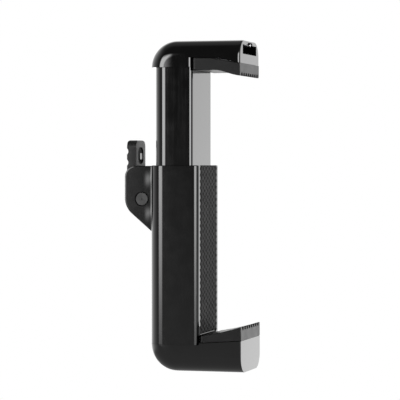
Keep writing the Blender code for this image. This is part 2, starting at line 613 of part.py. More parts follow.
def make_cam_lever(frame, materials):
    """The lever: cam, upright tab and oval finger hole."""
    lever = extrude("cam_lever", "X", lever_outline(), -LEVER_HALF_WIDTH, LEVER_HALF_WIDTH,
                    materials["lever_plastic"], frame)
    cut_round(lever, "lever_bore", "X", (PIN_Y, PIN_Z), PIN_SHANK_RADIUS + GAP,
              -LEVER_HALF_WIDTH - MM, LEVER_HALF_WIDTH + MM, frame)
    oval = [(FINGER_HOLE_HALF_WIDTH * a, FINGER_HOLE_Z + FINGER_HOLE_HALF_HEIGHT * b)
            for a, b in circle((0.0, 0.0), 1.0)]
    cut(lever, extrude("finger_hole", "Y", oval, LEVER_FRONT - MM, REAR_Y + MM, None, frame))
    return lever


def make_brake_shoe(frame, materials):
    """The shoe that the cam presses: a plate behind the housing with a boss in its window."""
    plate_front = SHOE_BACK - SHOE_PLATE
    plate = [(-5.6 * MM, PIN_Z - 4.8 * MM), (5.6 * MM, PIN_Z - 4.8 * MM),
             (5.6 * MM, PIN_Z + 4.8 * MM), (-5.6 * MM, PIN_Z + 4.8 * MM)]
    shoe = extrude("brake_shoe", "Y", plate, plate_front, SHOE_BACK, materials["black_steel"], frame)
    half_width = SHOE_WINDOW_HALF_WIDTH - GAP
    half_height = SHOE_WINDOW_HALF_HEIGHT - GAP
    boss = [(-half_width, PIN_Z - half_height), (half_width, PIN_Z - half_height),
            (half_width, PIN_Z + half_height), (-half_width, PIN_Z + half_height)]
    boss_front = RAIL_BACK + GAP + FACING_THICKNESS + GAP
    cut(shoe, extrude("shoe_boss", "Y", boss, boss_front, plate_front + 0.3 * MM, None, frame), "UNION")
    return shoe


def make_brake_facing(frame, materials):
    """The rubber facing between the shoe and the rail."""
    half_width = SHOE_WINDOW_HALF_WIDTH - GAP
    half_height = SHOE_WINDOW_HALF_HEIGHT - GAP
    outline = rounded_outline([
        (-half_width, PIN_Z - half_height, 0.5 * MM), (half_width, PIN_Z - half_height, 0.5 * MM),
        (half_width, PIN_Z + half_height, 0.5 * MM), (-half_width, PIN_Z + half_height, 0.5 * MM)], steps=3)
    front = RAIL_BACK + GAP
    return extrude("brake_facing", "Y", outline, front, front + FACING_THICKNESS, materials["rubber"], frame)


# ---------------------------------------------------------------- spring

def spring_path():
    """The wire's route: a hook round the lower pin, the coil, and a hook round the upper pin."""
    hook = ANCHOR_RADIUS + GAP + WIRE_RADIUS
    hook_steps = 10
    open_angle = math.radians(135.0)
    path = []
    for step in range(hook_steps + 1):
        turn = open_angle + (math.radians(435.0) - open_angle) * step / hook_steps
        path.append((0.0, RAIL_MID_Y + hook * math.cos(turn), LOWER_ANCHOR_Z + hook * math.sin(turn)))
    coil_low = LOWER_ANCHOR_Z + COIL_MARGIN
    coil_high = UPPER_ANCHOR_Z - COIL_MARGIN
    points = COIL_TURNS * COIL_POINTS_PER_TURN
    for point in range(points + 1):
        turn = 2 * math.pi * point / COIL_POINTS_PER_TURN
        path.append((COIL_RADIUS * math.sin(turn), RAIL_MID_Y + COIL_RADIUS * math.cos(turn),
                     coil_low + (coil_high - coil_low) * point / points))
    for step in range(hook_steps + 1):
        turn = math.radians(-75.0) + (math.radians(435.0) - open_angle) * step / hook_steps
        path.append((0.0, RAIL_MID_Y + hook * math.cos(turn), UPPER_ANCHOR_Z + hook * math.sin(turn)))
    return path


def make_jaw_spring(frame, materials):
    """The extension spring that pulls the top jaw down, drawn stretched."""
    curve = bpy.data.curves.new("jaw_spring", "CURVE")
    curve.dimensions = "3D"
    curve.bevel_depth = WIRE_RADIUS
    curve.bevel_resolution = 1
    curve.use_fill_caps = True
    path = spring_path()
    spline = curve.splines.new("POLY")
    spline.points.add(len(path) - 1)
    for spline_point, position in zip(spline.points, path):
        spline_point.co = (*position, 1.0)
    curve.materials.append(materials["steel"])
    spring = bpy.data.objects.new("jaw_spring", curve)
    spring.parent = frame
    bpy.context.collection.objects.link(spring)
    return spring


def main():
    """Clear the scene and build every piece on the frame of its body."""
    for old in list(bpy.data.objects):
        bpy.data.objects.remove(old)
    materials = make_materials()

    lower_clamp = make_frame("lower_clamp_frame", (0.0, 0.0, 0.0))
    make_housing(lower_clamp, materials)
    make_back_pad(lower_clamp, materials)
    make_bottom_jaw(lower_clamp, materials)
    make_bottom_jaw_pad(lower_clamp, materials)
    make_thread_insert(lower_clamp, materials)
    make_bottom_jaw_screws(lower_clamp, materials)
    make_anchor("spring_anchor_lower", LOWER_ANCHOR_Z, lower_clamp, materials)
    make_lever_pin(lower_clamp, materials)
    make_jaw_spring(lower_clamp, materials)

    slider = make_frame("slider_frame", (0.0, RAIL_MID_Y, RAIL_TOP))
    make_rail(slider, materials)
    make_rail_foot(slider, materials)
    make_top_jaw(slider, materials)
    make_top_jaw_pad(slider, materials)
    make_top_jaw_screws(slider, materials)
    make_anchor("spring_anchor_upper", UPPER_ANCHOR_Z, slider, materials)
    make_stop_screw(slider, materials)
    make_slot_catch_pin(slider, materials)

    lever = make_frame("lever_frame", (0.0, PIN_Y, PIN_Z))
    make_cam_lever(lever, materials)

    brake = make_frame("brake_frame", (0.0, SHOE_BACK, PIN_Z))
    make_brake_shoe(brake, materials)
    make_brake_facing(brake, materials)


main()
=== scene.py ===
"""Looks of a selfie stick's phone clamp head.

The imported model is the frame. Every piece that shows is modelled again here in fine detail in the same
place, rides on the same body and stands for its plain node. Pieces that stay inside keep their nodes.
Metres, +Z up along the slide, the jaws towards -Y and the cam lever towards +Y.
"""
import json
import math

import bmesh
import bpy
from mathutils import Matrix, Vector


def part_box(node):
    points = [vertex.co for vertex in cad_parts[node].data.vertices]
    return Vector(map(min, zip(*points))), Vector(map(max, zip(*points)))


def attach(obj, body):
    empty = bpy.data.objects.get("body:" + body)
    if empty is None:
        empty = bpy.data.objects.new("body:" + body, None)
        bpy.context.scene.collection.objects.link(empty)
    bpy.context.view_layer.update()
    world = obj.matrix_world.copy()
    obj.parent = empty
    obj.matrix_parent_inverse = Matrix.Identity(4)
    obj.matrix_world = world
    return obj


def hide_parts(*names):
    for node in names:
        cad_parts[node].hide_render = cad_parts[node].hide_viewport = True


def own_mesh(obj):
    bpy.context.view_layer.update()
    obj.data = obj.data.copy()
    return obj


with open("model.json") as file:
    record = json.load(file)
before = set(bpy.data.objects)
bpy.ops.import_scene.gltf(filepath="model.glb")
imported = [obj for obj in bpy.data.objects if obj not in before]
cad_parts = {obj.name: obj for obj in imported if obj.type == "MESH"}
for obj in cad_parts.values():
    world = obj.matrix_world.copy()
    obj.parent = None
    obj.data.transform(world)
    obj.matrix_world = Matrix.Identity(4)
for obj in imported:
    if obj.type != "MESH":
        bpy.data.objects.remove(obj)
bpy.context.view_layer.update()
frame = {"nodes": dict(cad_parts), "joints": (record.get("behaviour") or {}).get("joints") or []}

MM = 0.001
GAP = 0.3 * MM
TINY = 0.01 * MM
ARC_STEPS = 12

# Sizes that the frame gives
HOUSING_LOW, HOUSING_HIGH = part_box("housing")
RAIL_LOW, RAIL_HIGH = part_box("rail")
JAW_LOW, JAW_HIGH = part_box("bottom_jaw")
TOP_LOW, TOP_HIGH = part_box("top_jaw")
LEVER_LOW, LEVER_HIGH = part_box("cam_lever")
PAD_LOW, PAD_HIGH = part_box("back_pad")
JOINTS = {joint["name"]: joint for joint in frame["joints"]}
PIN_Y, PIN_Z = JOINTS["lever_swing"]["pos_m"][1:]
SLIDE_TRAVEL = -JOINTS["jaw_slide"]["range_m"][0]
HALF_WIDTH = HOUSING_HIGH.x
BODY_FRONT = HOUSING_LOW.y
BODY_BACK = JAW_HIGH.y
REAR_Y = HOUSING_HIGH.y
TIP_Y = JAW_LOW.y
SEAM_Z = HOUSING_LOW.z - GAP
RAIL_MID_Y = (RAIL_LOW.y + RAIL_HIGH.y) / 2

# Housing and its ears
HOUSING_RADII = (2.0 * MM, 5.8 * MM)
MOUTH_RADII = (1.7 * MM, 5.2 * MM)
HOUSING_FLOOR_TOP = 13.8 * MM
RIM_ROUND = 0.3 * MM
PAD_RECESS_DEPTH = 0.4 * MM
EAR_INNER = 6.1 * MM
EAR_OUTER = 8.3 * MM
EAR_TOP = 74.6 * MM
EAR_ROOT_Z = 50.4 * MM
EAR_ROOT_Y = 11.5 * MM
EAR_SLOPE = 0.85
EAR_TOP_RADIUS = 4.0 * MM
EAR_LOWER_RADIUS = 7.5 * MM
EAR_EDGE = 0.35 * MM
EAR_INNER_EDGE = 0.25 * MM
EAR_FILLET = 0.4 * MM
EAR_ROOT_OVERLAP = 0.03 * MM
EAR_ROOT_STEP = 0.3 * MM
# Swells of an ear's outer face: height of the middle and reach up and down
EAR_SWELLS = ((69.6 * MM, 4.2 * MM), (57.0 * MM, 4.0 * MM))
EAR_SWELL_HEIGHT = 0.07 * MM
EAR_SWELL_WIDTH = 3.1 * MM
PIN_HEAD_RADIUS = 2.37 * MM
PIN_HEAD_DEPTH = 1.0 * MM
PIN_SHANK_RADIUS = 1.5 * MM
PIN_SEAT_RADIUS = 2.55 * MM
PIN_SEAT_CHAMFER = 0.2 * MM

# Rail
RAIL_RADII = (1.4 * MM, 4.9 * MM)
RAIL_WALL = 1.6 * MM
RAIL_END_WALL = 4.0 * MM
RAIL_HOLLOW_CORNER = 0.6 * MM

# Lever
LEVER_FRONT = 19.25 * MM
LEVER_EDGE = 0.25 * MM
LEVER_CORNER = 2.6 * MM
LEVER_CROWN = 0.6 * MM
LEVER_SIDE_PLAY = 0.05 * MM
CAM_RADII = (2.9 * MM, 2.4 * MM)
CAM_SWING = math.radians(100.0)
HEEL = (PIN_Y - CAM_RADII[1] * math.cos(CAM_SWING), PIN_Z - CAM_RADII[1] * math.sin(CAM_SWING))
HEEL_RISE = 4.2 * MM
NECK_TOP = 68.0 * MM
SCALLOP_LEVELS = (79.9 * MM, 75.8 * MM)
SCALLOP_DEPTH = 0.5 * MM
SCALLOP_RADIUS = 1.6 * MM
FINGER_HOLE_Z = 78.35 * MM
# Finger hole: half width, half height and corner radius at its waist
FINGER_HOLE = (2.9 * MM, 2.95 * MM, 2.1 * MM)
FINGER_HOLE_WAIST = 0.45 * MM
FINGER_HOLE_FLARE = 6.0 * MM
FINGER_HOLE_LIP = 0.25 * MM
FINGER_HOLE_MARGIN = 0.6 * MM

# Jaws and rubber
BOTTOM_JAW_CORNER = 5.8 * MM
TOP_JAW_CORNER = 6.3 * MM
JAW_TAPER = 0.5 * MM
JAW_TAPER_START = -2.0 * MM
BOTTOM_JAW_TIP_ROUND = 0.35 * MM
TOP_JAW_TIP_ROUND = 1.0 * MM
TOP_TIP_Y = TIP_Y + 0.4 * MM
TOP_ROOT_FRONT = -4.3 * MM
TOP_ROOT_ROUND = 1.2 * MM
TOP_PAD_ROOT = -4.85 * MM
TOP_PAD_LEVEL = 113.7 * MM
TOP_PAD_BEND_Y = -12.65 * MM
TOP_PAD_SLOPE = 0.215
TOP_PAD_BEND_WIDTH = 3.0 * MM
TOP_PAD_THICKNESS = 4.6 * MM
TOP_PAD_DROP = 2.15 * MM
PAD_SEAT_PLAY = 0.05 * MM
PAD_SIDE_PLAY = 0.1 * MM
PAD_EDGE = 0.4 * MM
PAD_ROOT_ROUND = 0.75 * MM
PAD_TIP_ROUND = 0.3 * MM
BOTTOM_PAD_ROOT = -7.65 * MM
BOTTOM_SHELL_LEVELS = (10.6 * MM, 11.7 * MM)
# Top of the wedge: level at its root, slope and curve (per metre)
BOTTOM_PAD_RISE = (13.25 * MM, 0.15, 5.6)
RIB_COUNT = 8
RIB_PITCH = 3.0 * MM
RIB_DEPTH = 1.1 * MM
RIB_LENGTH = 6.0 * MM
RIB_FADE = 2.0 * MM
# Slot: half width, low, high and depth; notch over it: X from and to, top and depth
SLOT = (9.4 * MM, 114.95 * MM, 118.35 * MM, 10.0 * MM)
SLOT_NOTCH = (-5.5 * MM, 4.0 * MM, 119.3 * MM, 1.2 * MM)
SLOT_CORNER = 0.15 * MM
NOTCH_CORNER = 0.9 * MM
# Catch pin: X, Z and radius
CATCH_PIN = (1.4 * MM, 118.4 * MM, 0.5 * MM)

# Dimpled pad on the housing
DIMPLE_PITCH = 2.3 * MM
DIMPLE_RADIUS = 0.95 * MM
DIMPLE_DEPTH = 0.36 * MM
BACK_PAD_EDGE = 0.25 * MM
PAD_CELL = 0.2 * MM

# Small parts
INSERT_Y = -6.0 * MM
INSERT_RADII = (4.5 * MM, 3.175 * MM)
INSERT_LENGTH = 6.5 * MM
THREAD_PITCH = 1.27 * MM
THREAD_DEPTH = 0.5 * MM
# Bottom jaw's screws: X either side, Y and underside of the head
JAW_SCREW = (6.6 * MM, -0.5 * MM, 3.0 * MM)
SCREW_RADII = (1.9 * MM, 1.0 * MM)
SCREW_HEAD_HEIGHT = 1.4 * MM
ANCHOR_RADIUS = 1.0 * MM
HOOK_HOLE = 2.6 * MM
HOOK_POCKET_DEPTH = 1.2 * MM
TOP_SCREW_X = 8.3 * MM
TOP_SCREW_DEPTH = 4.0 * MM
WIRE_RADIUS = 0.4 * MM
COIL_RADIUS = 3.0 * MM
COIL_TURNS = 15
COIL_MARGIN = 6.0 * MM
HOOK_STRETCH = 1.3

# Materials: cycles per metre of the broad mottle
MOTTLE = 220.0

# Studio, in degrees: a bearing is 0 to the clamp's left and grows towards its back
BOX_HEIGHTS = (-7.0, 1.0, 16.0, 30.0)
BACK_BOX_BEARINGS = (17.5, 26.0, 44.0, 50.0)
FRONT_BOX_BEARINGS = (-72.0, -66.0, -27.0, -18.0)
BOX_STRENGTH = 10.5
BACK_WALL = (48.0, 118.0, 0.0, 1.4)
FRONT_WALL_NEAR = (-60.0, -20.0, 1.0, 0.0)
FRONT_WALL_FAR = (-128.0, -100.0, 1.65, 0.25)
WALL_TOP = (25.0, 50.0, 1.0, 0.15)
WALL_FOOT = (-22.0, -10.0, 0.0, 1.0)
ROOM_LIGHT = (-8.0, 4.0, 0.55, 0.10)

# Camera
CAMERA_AZIMUTH = math.radians(-73.5)
CAMERA_DISTANCE = 744.0 * MM
CAMERA_SIDE_STEP = 3.44 * MM
CAMERA_HEIGHT = 76.0 * MM
CAMERA_TARGET_HEIGHT = 62.05 * MM
CAMERA_LENS = 182.25

PLACES = {"X": (1, 2, 0), "Y": (0, 2, 1), "Z": (0, 1, 2)}


# ---------------------------------------------------------------- shape tools

def point_at(axis, first, second, along):
    """A 3D point from two coordinates across an axis and one along it."""
    point = [0.0, 0.0, 0.0]
    for place, value in zip(PLACES[axis], (first, second, along)):
        point[place] = value
    return Vector(point)


def smooth(value, low=0.0, high=1.0):
    """A smooth step from 0 at low to 1 at high."""
    share = min(1.0, max(0.0, (value - low) / (high - low)))
    return share * share * (3 - 2 * share)


def edge_fall(depth, radius):
    """How far a rounded edge stands back at a depth from the edge."""
    if depth >= radius:
        return 0.0
    return radius - math.sqrt(max(0.0, radius ** 2 - (radius - max(0.0, depth)) ** 2))


def spaced(low, high, count):
    """Evenly spaced values, both ends included."""
    return [low + (high - low) * step / (count - 1) for step in range(count)]


def edge_levels(low, high, low_round, high_round, steps, count):
    """Values from low to high, close together where an edge of that radius is rounded."""
    turns = [math.pi / 2 * step / steps for step in range(steps + 1)]
    start = [low + low_round * (1 - math.cos(turn)) for turn in turns]
    end = [high - high_round * (1 - math.cos(turn)) for turn in reversed(turns)]
    return start + spaced(start[-1], end[0], count)[1:-1] + end


def rounded_outline(corners, steps=ARC_STEPS):
    """A closed outline through (a, b, radius) corners, each one rounded by an arc."""
    outline = []
    for index, (a, b, radius) in enumerate(corners):
        corner = Vector((a, b))
        if radius == 0.0:
            outline.append((a, b))
            continue
        before = (Vector(corners[index - 1][:2]) - corner).normalized()
        after = (Vector(corners[(index + 1) % len(corners)][:2]) - corner).normalized()
        half_angle = before.angle(after) / 2
        centre = corner + (before + after).normalized() * (radius / math.sin(half_angle))
        reach = radius / math.tan(half_angle)
        start = corner + before * reach - centre
        end = corner + after * reach - centre
        start_angle = math.atan2(start.y, start.x)
        turn = math.atan2(start.x * end.y - start.y * end.x, start.dot(end))
        for step in range(steps + 1):
            angle = start_angle + turn * step / steps
            outline.append((centre.x + radius * math.cos(angle), centre.y + radius * math.sin(angle)))
    return outline


def circle(centre, radius, sides=48):
    """A round outline about a centre (a, b)."""
    turns = [2 * math.pi * side / sides for side in range(sides)]
    return [(centre[0] + radius * math.cos(turn), centre[1] + radius * math.sin(turn)) for turn in turns]


def skin(rings, merge=False):
    """A closed mesh through rings of equal length, with a face on each end."""
    data = bmesh.new()
    levels = [[data.verts.new(point) for point in ring] for ring in rings]
    for lower, upper in zip(levels, levels[1:]):
        for index in range(len(lower)):
            following = (index + 1) % len(lower)
            data.faces.new((lower[index], lower[following], upper[following], upper[index]))
    data.faces.new(levels[0])
    data.faces.new(levels[-1])
    if merge:
        bmesh.ops.remove_doubles(data, verts=data.verts, dist=0.2 * TINY)
    return data


def extruded(axis, outline, low, high):
    """An outline extruded along an axis."""
    return skin([[point_at(axis, a, b, along) for a, b in outline] for along in (low, high)])


def turned(axis, centre, profile, sides=48):
    """A turned solid from (position along the axis, radius) pairs about a centre (a, b)."""
    return skin([[point_at(axis, a, b, along) for a, b in circle(centre, radius, sides)]
                 for along, radius in profile])


def block(low, high):
    """An upright box."""
    outline = [(low[0], low[1]), (high[0], low[1]), (high[0], high[1]), (low[0], high[1])]
    return extruded("Z", outline, low[2], high[2])


def as_object(name, data):
    """An object from a bmesh in row coordinates."""
    bmesh.ops.recalc_face_normals(data, faces=data.faces)
    mesh = bpy.data.meshes.new(name)
    data.to_mesh(mesh)
    data.free()
    piece = bpy.data.objects.new(name, mesh)
    bpy.context.scene.collection.objects.link(piece)
    return piece


def combine(piece, tools):
    """Cut or join a piece by (bmesh, operation) tools, and keep only the result."""
    cutters = []
    for number, (data, operation) in enumerate(tools):
        cutter = as_object(f"{piece.name}_tool_{number}", data)
        modifier = piece.modifiers.new(cutter.name, "BOOLEAN")
        modifier.operation = operation
        modifier.object = cutter
        modifier.solver = "EXACT"
        cutters.append(cutter)
    graph = bpy.context.evaluated_depsgraph_get()
    mesh = bpy.data.meshes.new_from_object(piece.evaluated_get(graph))
    piece.modifiers.clear()
    piece.data = mesh
    for cutter in cutters:
        bpy.data.objects.remove(cutter)
    return piece


def finish_piece(piece, body, slot, nodes, smooth_angle=32.0):
    """Shade a piece, give it its material and body, and let it stand for its nodes."""
    mesh = piece.data
    mesh.materials.clear()
    mesh.materials.append(MATERIALS[slot])
    mesh.shade_smooth()
    mesh.set_sharp_from_angle(angle=math.radians(smooth_angle))
    weighted = piece.modifiers.new("weighted_normals", "WEIGHTED_NORMAL")
    weighted.keep_sharp = True
    weighted.weight = 80
    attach(piece, body)
    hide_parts(*nodes)
    return piece


# ---------------------------------------------------------------- materials

class Graph:
    """Short calls that add nodes to a tree."""

    def __init__(self, tree):
        self.tree = tree

    def join(self, value, socket):
        """Link a socket to an input, or set a plain value on it."""
        if isinstance(value, bpy.types.NodeSocket):
            self.tree.links.new(value, socket)
        else:
            socket.default_value = value

    def add(self, kind, inputs=None, **settings):
        """Add a node with its settings and inputs."""
        node = self.tree.nodes.new(kind)
        for name, value in settings.items():
            setattr(node, name, value)
        for name, value in (inputs or {}).items():
            self.join(value, node.inputs[name])
        return node

    def math(self, operation, *values):
        """The result of a Math node."""
        node = self.add("ShaderNodeMath", operation=operation)
        for value, socket in zip(values, node.inputs):
            self.join(value, socket)
        return node.outputs[0]

    def fade(self, value, low, high, first=0.0, last=1.0):
        """A smooth change from first at low to last at high."""
        node = self.add("ShaderNodeMapRange", {
            "Value": value, "From Min": low, "From Max": high, "To Min": first, "To Max": last},
            interpolation_type="SMOOTHSTEP")
        return node.outputs["Result"]

    def noise(self, scale, detail=3.0, stretch=(1.0, 1.0, 1.0)):
        """Noise over the piece's own coordinates, with scale in cycles per metre."""
        place = self.add("ShaderNodeTexCoord").outputs["Object"]
        mapped = self.add("ShaderNodeMapping", {"Vector": place, "Scale": stretch}).outputs["Vector"]
        return self.add("ShaderNodeTexNoise", {
            "Vector": mapped, "Scale": scale, "Detail": detail}).outputs["Fac"]


def make_material(name, colours, roughness, grain, bump, metallic=0.0, drawn=None, specular=0.5):
    """A Principled material whose colour, roughness and surface all vary finely.

    colours is a dark and a light tone, roughness a range, grain the cycles per metre of the finest
    relief and bump its height in metres. drawn stretches the relief into lines along one direction.
    """
    material = bpy.data.materials.new(name)
    material.use_nodes = True
    graph = Graph(material.node_tree)
    shader = material.node_tree.nodes["Principled BSDF"]
    shader.inputs["Metallic"].default_value = metallic
    shader.inputs["Specular IOR Level"].default_value = specular
    cloud = graph.noise(MOTTLE, 4.0)
    fine = graph.noise(grain, 2.0, drawn or (1.0, 1.0, 1.0))
    share = graph.fade(cloud, 0.3, 0.7)
    tone = graph.add("ShaderNodeMix", {"Factor": share}, data_type="RGBA")
    tone.inputs["A"].default_value = (*colours[0], 1.0)
    tone.inputs["B"].default_value = (*colours[1], 1.0)
    graph.join(tone.outputs["Result"], shader.inputs["Base Color"])
    polish = graph.math("MULTIPLY_ADD", fine, 0.5, graph.math("MULTIPLY", cloud, 0.5))
    graph.join(graph.fade(polish, 0.3, 0.7, *roughness), shader.inputs["Roughness"])
    relief = graph.add("ShaderNodeBump", {"Strength": 1.0, "Distance": bump, "Height": fine})
    graph.join(relief.outputs["Normal"], shader.inputs["Normal"])
    return material


def make_materials():
    """Every material of the clamp, by the record's slot name."""
    along_slide = (1.0, 1.0, 0.02)
    along_x = (0.04, 1.0, 1.0)
    return {
        "satin_shell": make_material("satin_shell", ((0.0005,) * 3, (0.0010,) * 3), (0.06, 0.10),
                                     2600.0, 0.0006 * MM, specular=0.45),
        "gloss_shell": make_material("gloss_shell", ((0.0005,) * 3, (0.0010,) * 3), (0.04, 0.08),
                                     1800.0, 0.0004 * MM),
        "rail_gloss": make_material("rail_gloss", ((0.0004,) * 3, (0.0009,) * 3), (0.03, 0.09),
                                    1400.0, 0.0010 * MM, drawn=along_slide),
        "lever_plastic": make_material("lever_plastic", ((0.0045,) * 3, (0.0070,) * 3), (0.42, 0.52),
                                       2400.0, 0.002 * MM, specular=0.22),
        "pad_rubber": make_material("pad_rubber", ((0.0035,) * 3, (0.0050,) * 3), (0.34, 0.44),
                                    3200.0, 0.004 * MM, specular=0.16),
        "textured_rubber": make_material("textured_rubber", ((0.0045,) * 3, (0.0065,) * 3), (0.66, 0.80),
                                         3200.0, 0.004 * MM, specular=0.2),
        "steel": make_material("steel", ((0.50, 0.50, 0.51), (0.62, 0.62, 0.63)), (0.22, 0.34),
                               3000.0, 0.002 * MM, metallic=1.0, drawn=along_x),
        "black_steel": make_material("black_steel", ((0.030,) * 3, (0.050,) * 3), (0.34, 0.46),
                                     3000.0, 0.003 * MM, metallic=1.0),
        "brass": make_material("brass", ((0.60, 0.42, 0.17), (0.74, 0.55, 0.26)), (0.22, 0.36),
                               2600.0, 0.002 * MM, metallic=1.0),
        "acetal": make_material("acetal", ((0.50, 0.50, 0.48), (0.60, 0.60, 0.57)), (0.40, 0.52),
                                1800.0, 0.003 * MM),
    }


# ---------------------------------------------------------------- housing

def tube_outline(half_width, front, back, front_radius, back_radius):
    """The XY outline of the housing, the rail and their hollows."""
    return rounded_outline([
        (-half_width, front, front_radius), (half_width, front, front_radius),
        (half_width, back, back_radius), (-half_width, back, back_radius)])


def tube_ring(size, z, inset=0.0):
    """The ring of a tube at a height, drawn in by an inset."""
    half_width, front, back, front_radius, back_radius = size
    outline = tube_outline(half_width - inset, front + inset, back - inset,
                           max(TINY, front_radius - inset), max(TINY, back_radius - inset))
    return [Vector((x, y, z)) for x, y in outline]


def open_tube(outer, inner, low, high, floor, low_round, rim_round):
    """A tube with a floor at the bottom, an open mouth at the top and rounded rims."""
    steps = 4
    turns = [math.pi / 2 * step / steps for step in range(steps + 1)]
    rings = [tube_ring(outer, low + low_round * (1 - math.cos(turn)), low_round * (1 - math.sin(turn)))
             for turn in turns]
    rings += [tube_ring(outer, high - rim_round * (1 - math.sin(turn)), rim_round * (1 - math.cos(turn)))
              for turn in turns]
    rings += [tube_ring(inner, high - rim_round * (1 - math.cos(turn)), -rim_round * (1 - math.sin(turn)))
              for turn in turns]
    rings.append(tube_ring(inner, floor))
    return skin(rings)


def ear_reach(z):
    """How far back an ear reaches at a height."""
    top_centre = EAR_TOP - EAR_TOP_RADIUS
    slant = math.hypot(1.0, EAR_SLOPE)
    lower_y = REAR_Y - EAR_LOWER_RADIUS
    lower_z = EAR_ROOT_Z + EAR_SLOPE * (lower_y - BODY_BACK) + EAR_LOWER_RADIUS * slant
    if z > top_centre:
        return REAR_Y - edge_fall(EAR_TOP - z, EAR_TOP_RADIUS)
    if z > lower_z:
        return REAR_Y
    if z > lower_z - EAR_LOWER_RADIUS / slant:
        return lower_y + math.sqrt(EAR_LOWER_RADIUS ** 2 - (z - lower_z) ** 2)
    return BODY_BACK + (z - EAR_ROOT_Z) / EAR_SLOPE


def ear_depth(y, z):
    """The distance of a point of an ear's side from its free edge."""
    slant = math.hypot(1.0, EAR_SLOPE)
    top_y, top_z = REAR_Y - EAR_TOP_RADIUS, EAR_TOP - EAR_TOP_RADIUS
    lower_y = REAR_Y - EAR_LOWER_RADIUS
    lower_z = EAR_ROOT_Z + EAR_SLOPE * (lower_y - BODY_BACK) + EAR_LOWER_RADIUS * slant
    if y > top_y and z > top_z:
        return EAR_TOP_RADIUS - math.hypot(y - top_y, z - top_z)
    if z < lower_z and (y - lower_y) + EAR_SLOPE * (z - lower_z) > 0:
        return EAR_LOWER_RADIUS - math.hypot(y - lower_y, z - lower_z)
    under = ((z - EAR_ROOT_Z) - EAR_SLOPE * (y - BODY_BACK)) / slant
    return min(REAR_Y - y, EAR_TOP - z, under)


def ear_swell(y, z):
    """How far an ear's outer face swells out towards its root, above and below the pin."""
    strength = max(smooth(1 - abs(z - middle) / reach) for middle, reach in EAR_SWELLS)
    return EAR_SWELL_HEIGHT * strength * smooth(BODY_BACK + EAR_SWELL_WIDTH - y, 0.0, EAR_SWELL_WIDTH)


def ear_ring(z, side):
    """One level of an ear: its outer face and fillet, then its inner face."""
    reach = ear_reach(z)
    corner_radius = HOUSING_RADII[1]
    corner_x = HALF_WIDTH - corner_radius
    corner_y = BODY_BACK - corner_radius
    across = EAR_OUTER + EAR_FILLET - corner_x
    centre_y = corner_y + math.sqrt((corner_radius + EAR_FILLET - EAR_ROOT_OVERLAP) ** 2 - across ** 2)
    face_points, fillet_points, inner_points = 26, 10, 12
    points = []
    start_y = min(centre_y, reach)
    for step in range(face_points):
        y = reach - (reach - start_y) * (step / face_points) ** 1.4
        points.append((EAR_OUTER, y))
    end_turn = math.acos(across / (corner_radius + EAR_FILLET))
    for step in range(fillet_points + 1):
        turn = end_turn * step / fillet_points
        points.append((EAR_OUTER + EAR_FILLET * (1 - math.cos(turn)),
                       min(reach, centre_y - EAR_FILLET * math.sin(turn))))
    points = [(x + ear_swell(y, z) - edge_fall(ear_depth(y, z), EAR_EDGE), y) for x, y in points]
    root = min(EAR_ROOT_Y, reach - TINY)
    points.append((points[-1][0] - EAR_ROOT_STEP, root))
    for step in range(inner_points):
        y = root + (reach - root) * (1 - (1 - step / (inner_points - 1)) ** 1.7)
        points.append((EAR_INNER + edge_fall(ear_depth(y, z), EAR_INNER_EDGE), y))
    return [Vector((side * x, y, z)) for x, y in points]


def make_ear(side):
    """One ear of the housing as a closed mesh."""
    levels = edge_levels(EAR_ROOT_Z - 0.2 * MM, EAR_TOP, 0.3 * MM, EAR_EDGE, 5, 64)
    return skin([ear_ring(z, side) for z in levels])


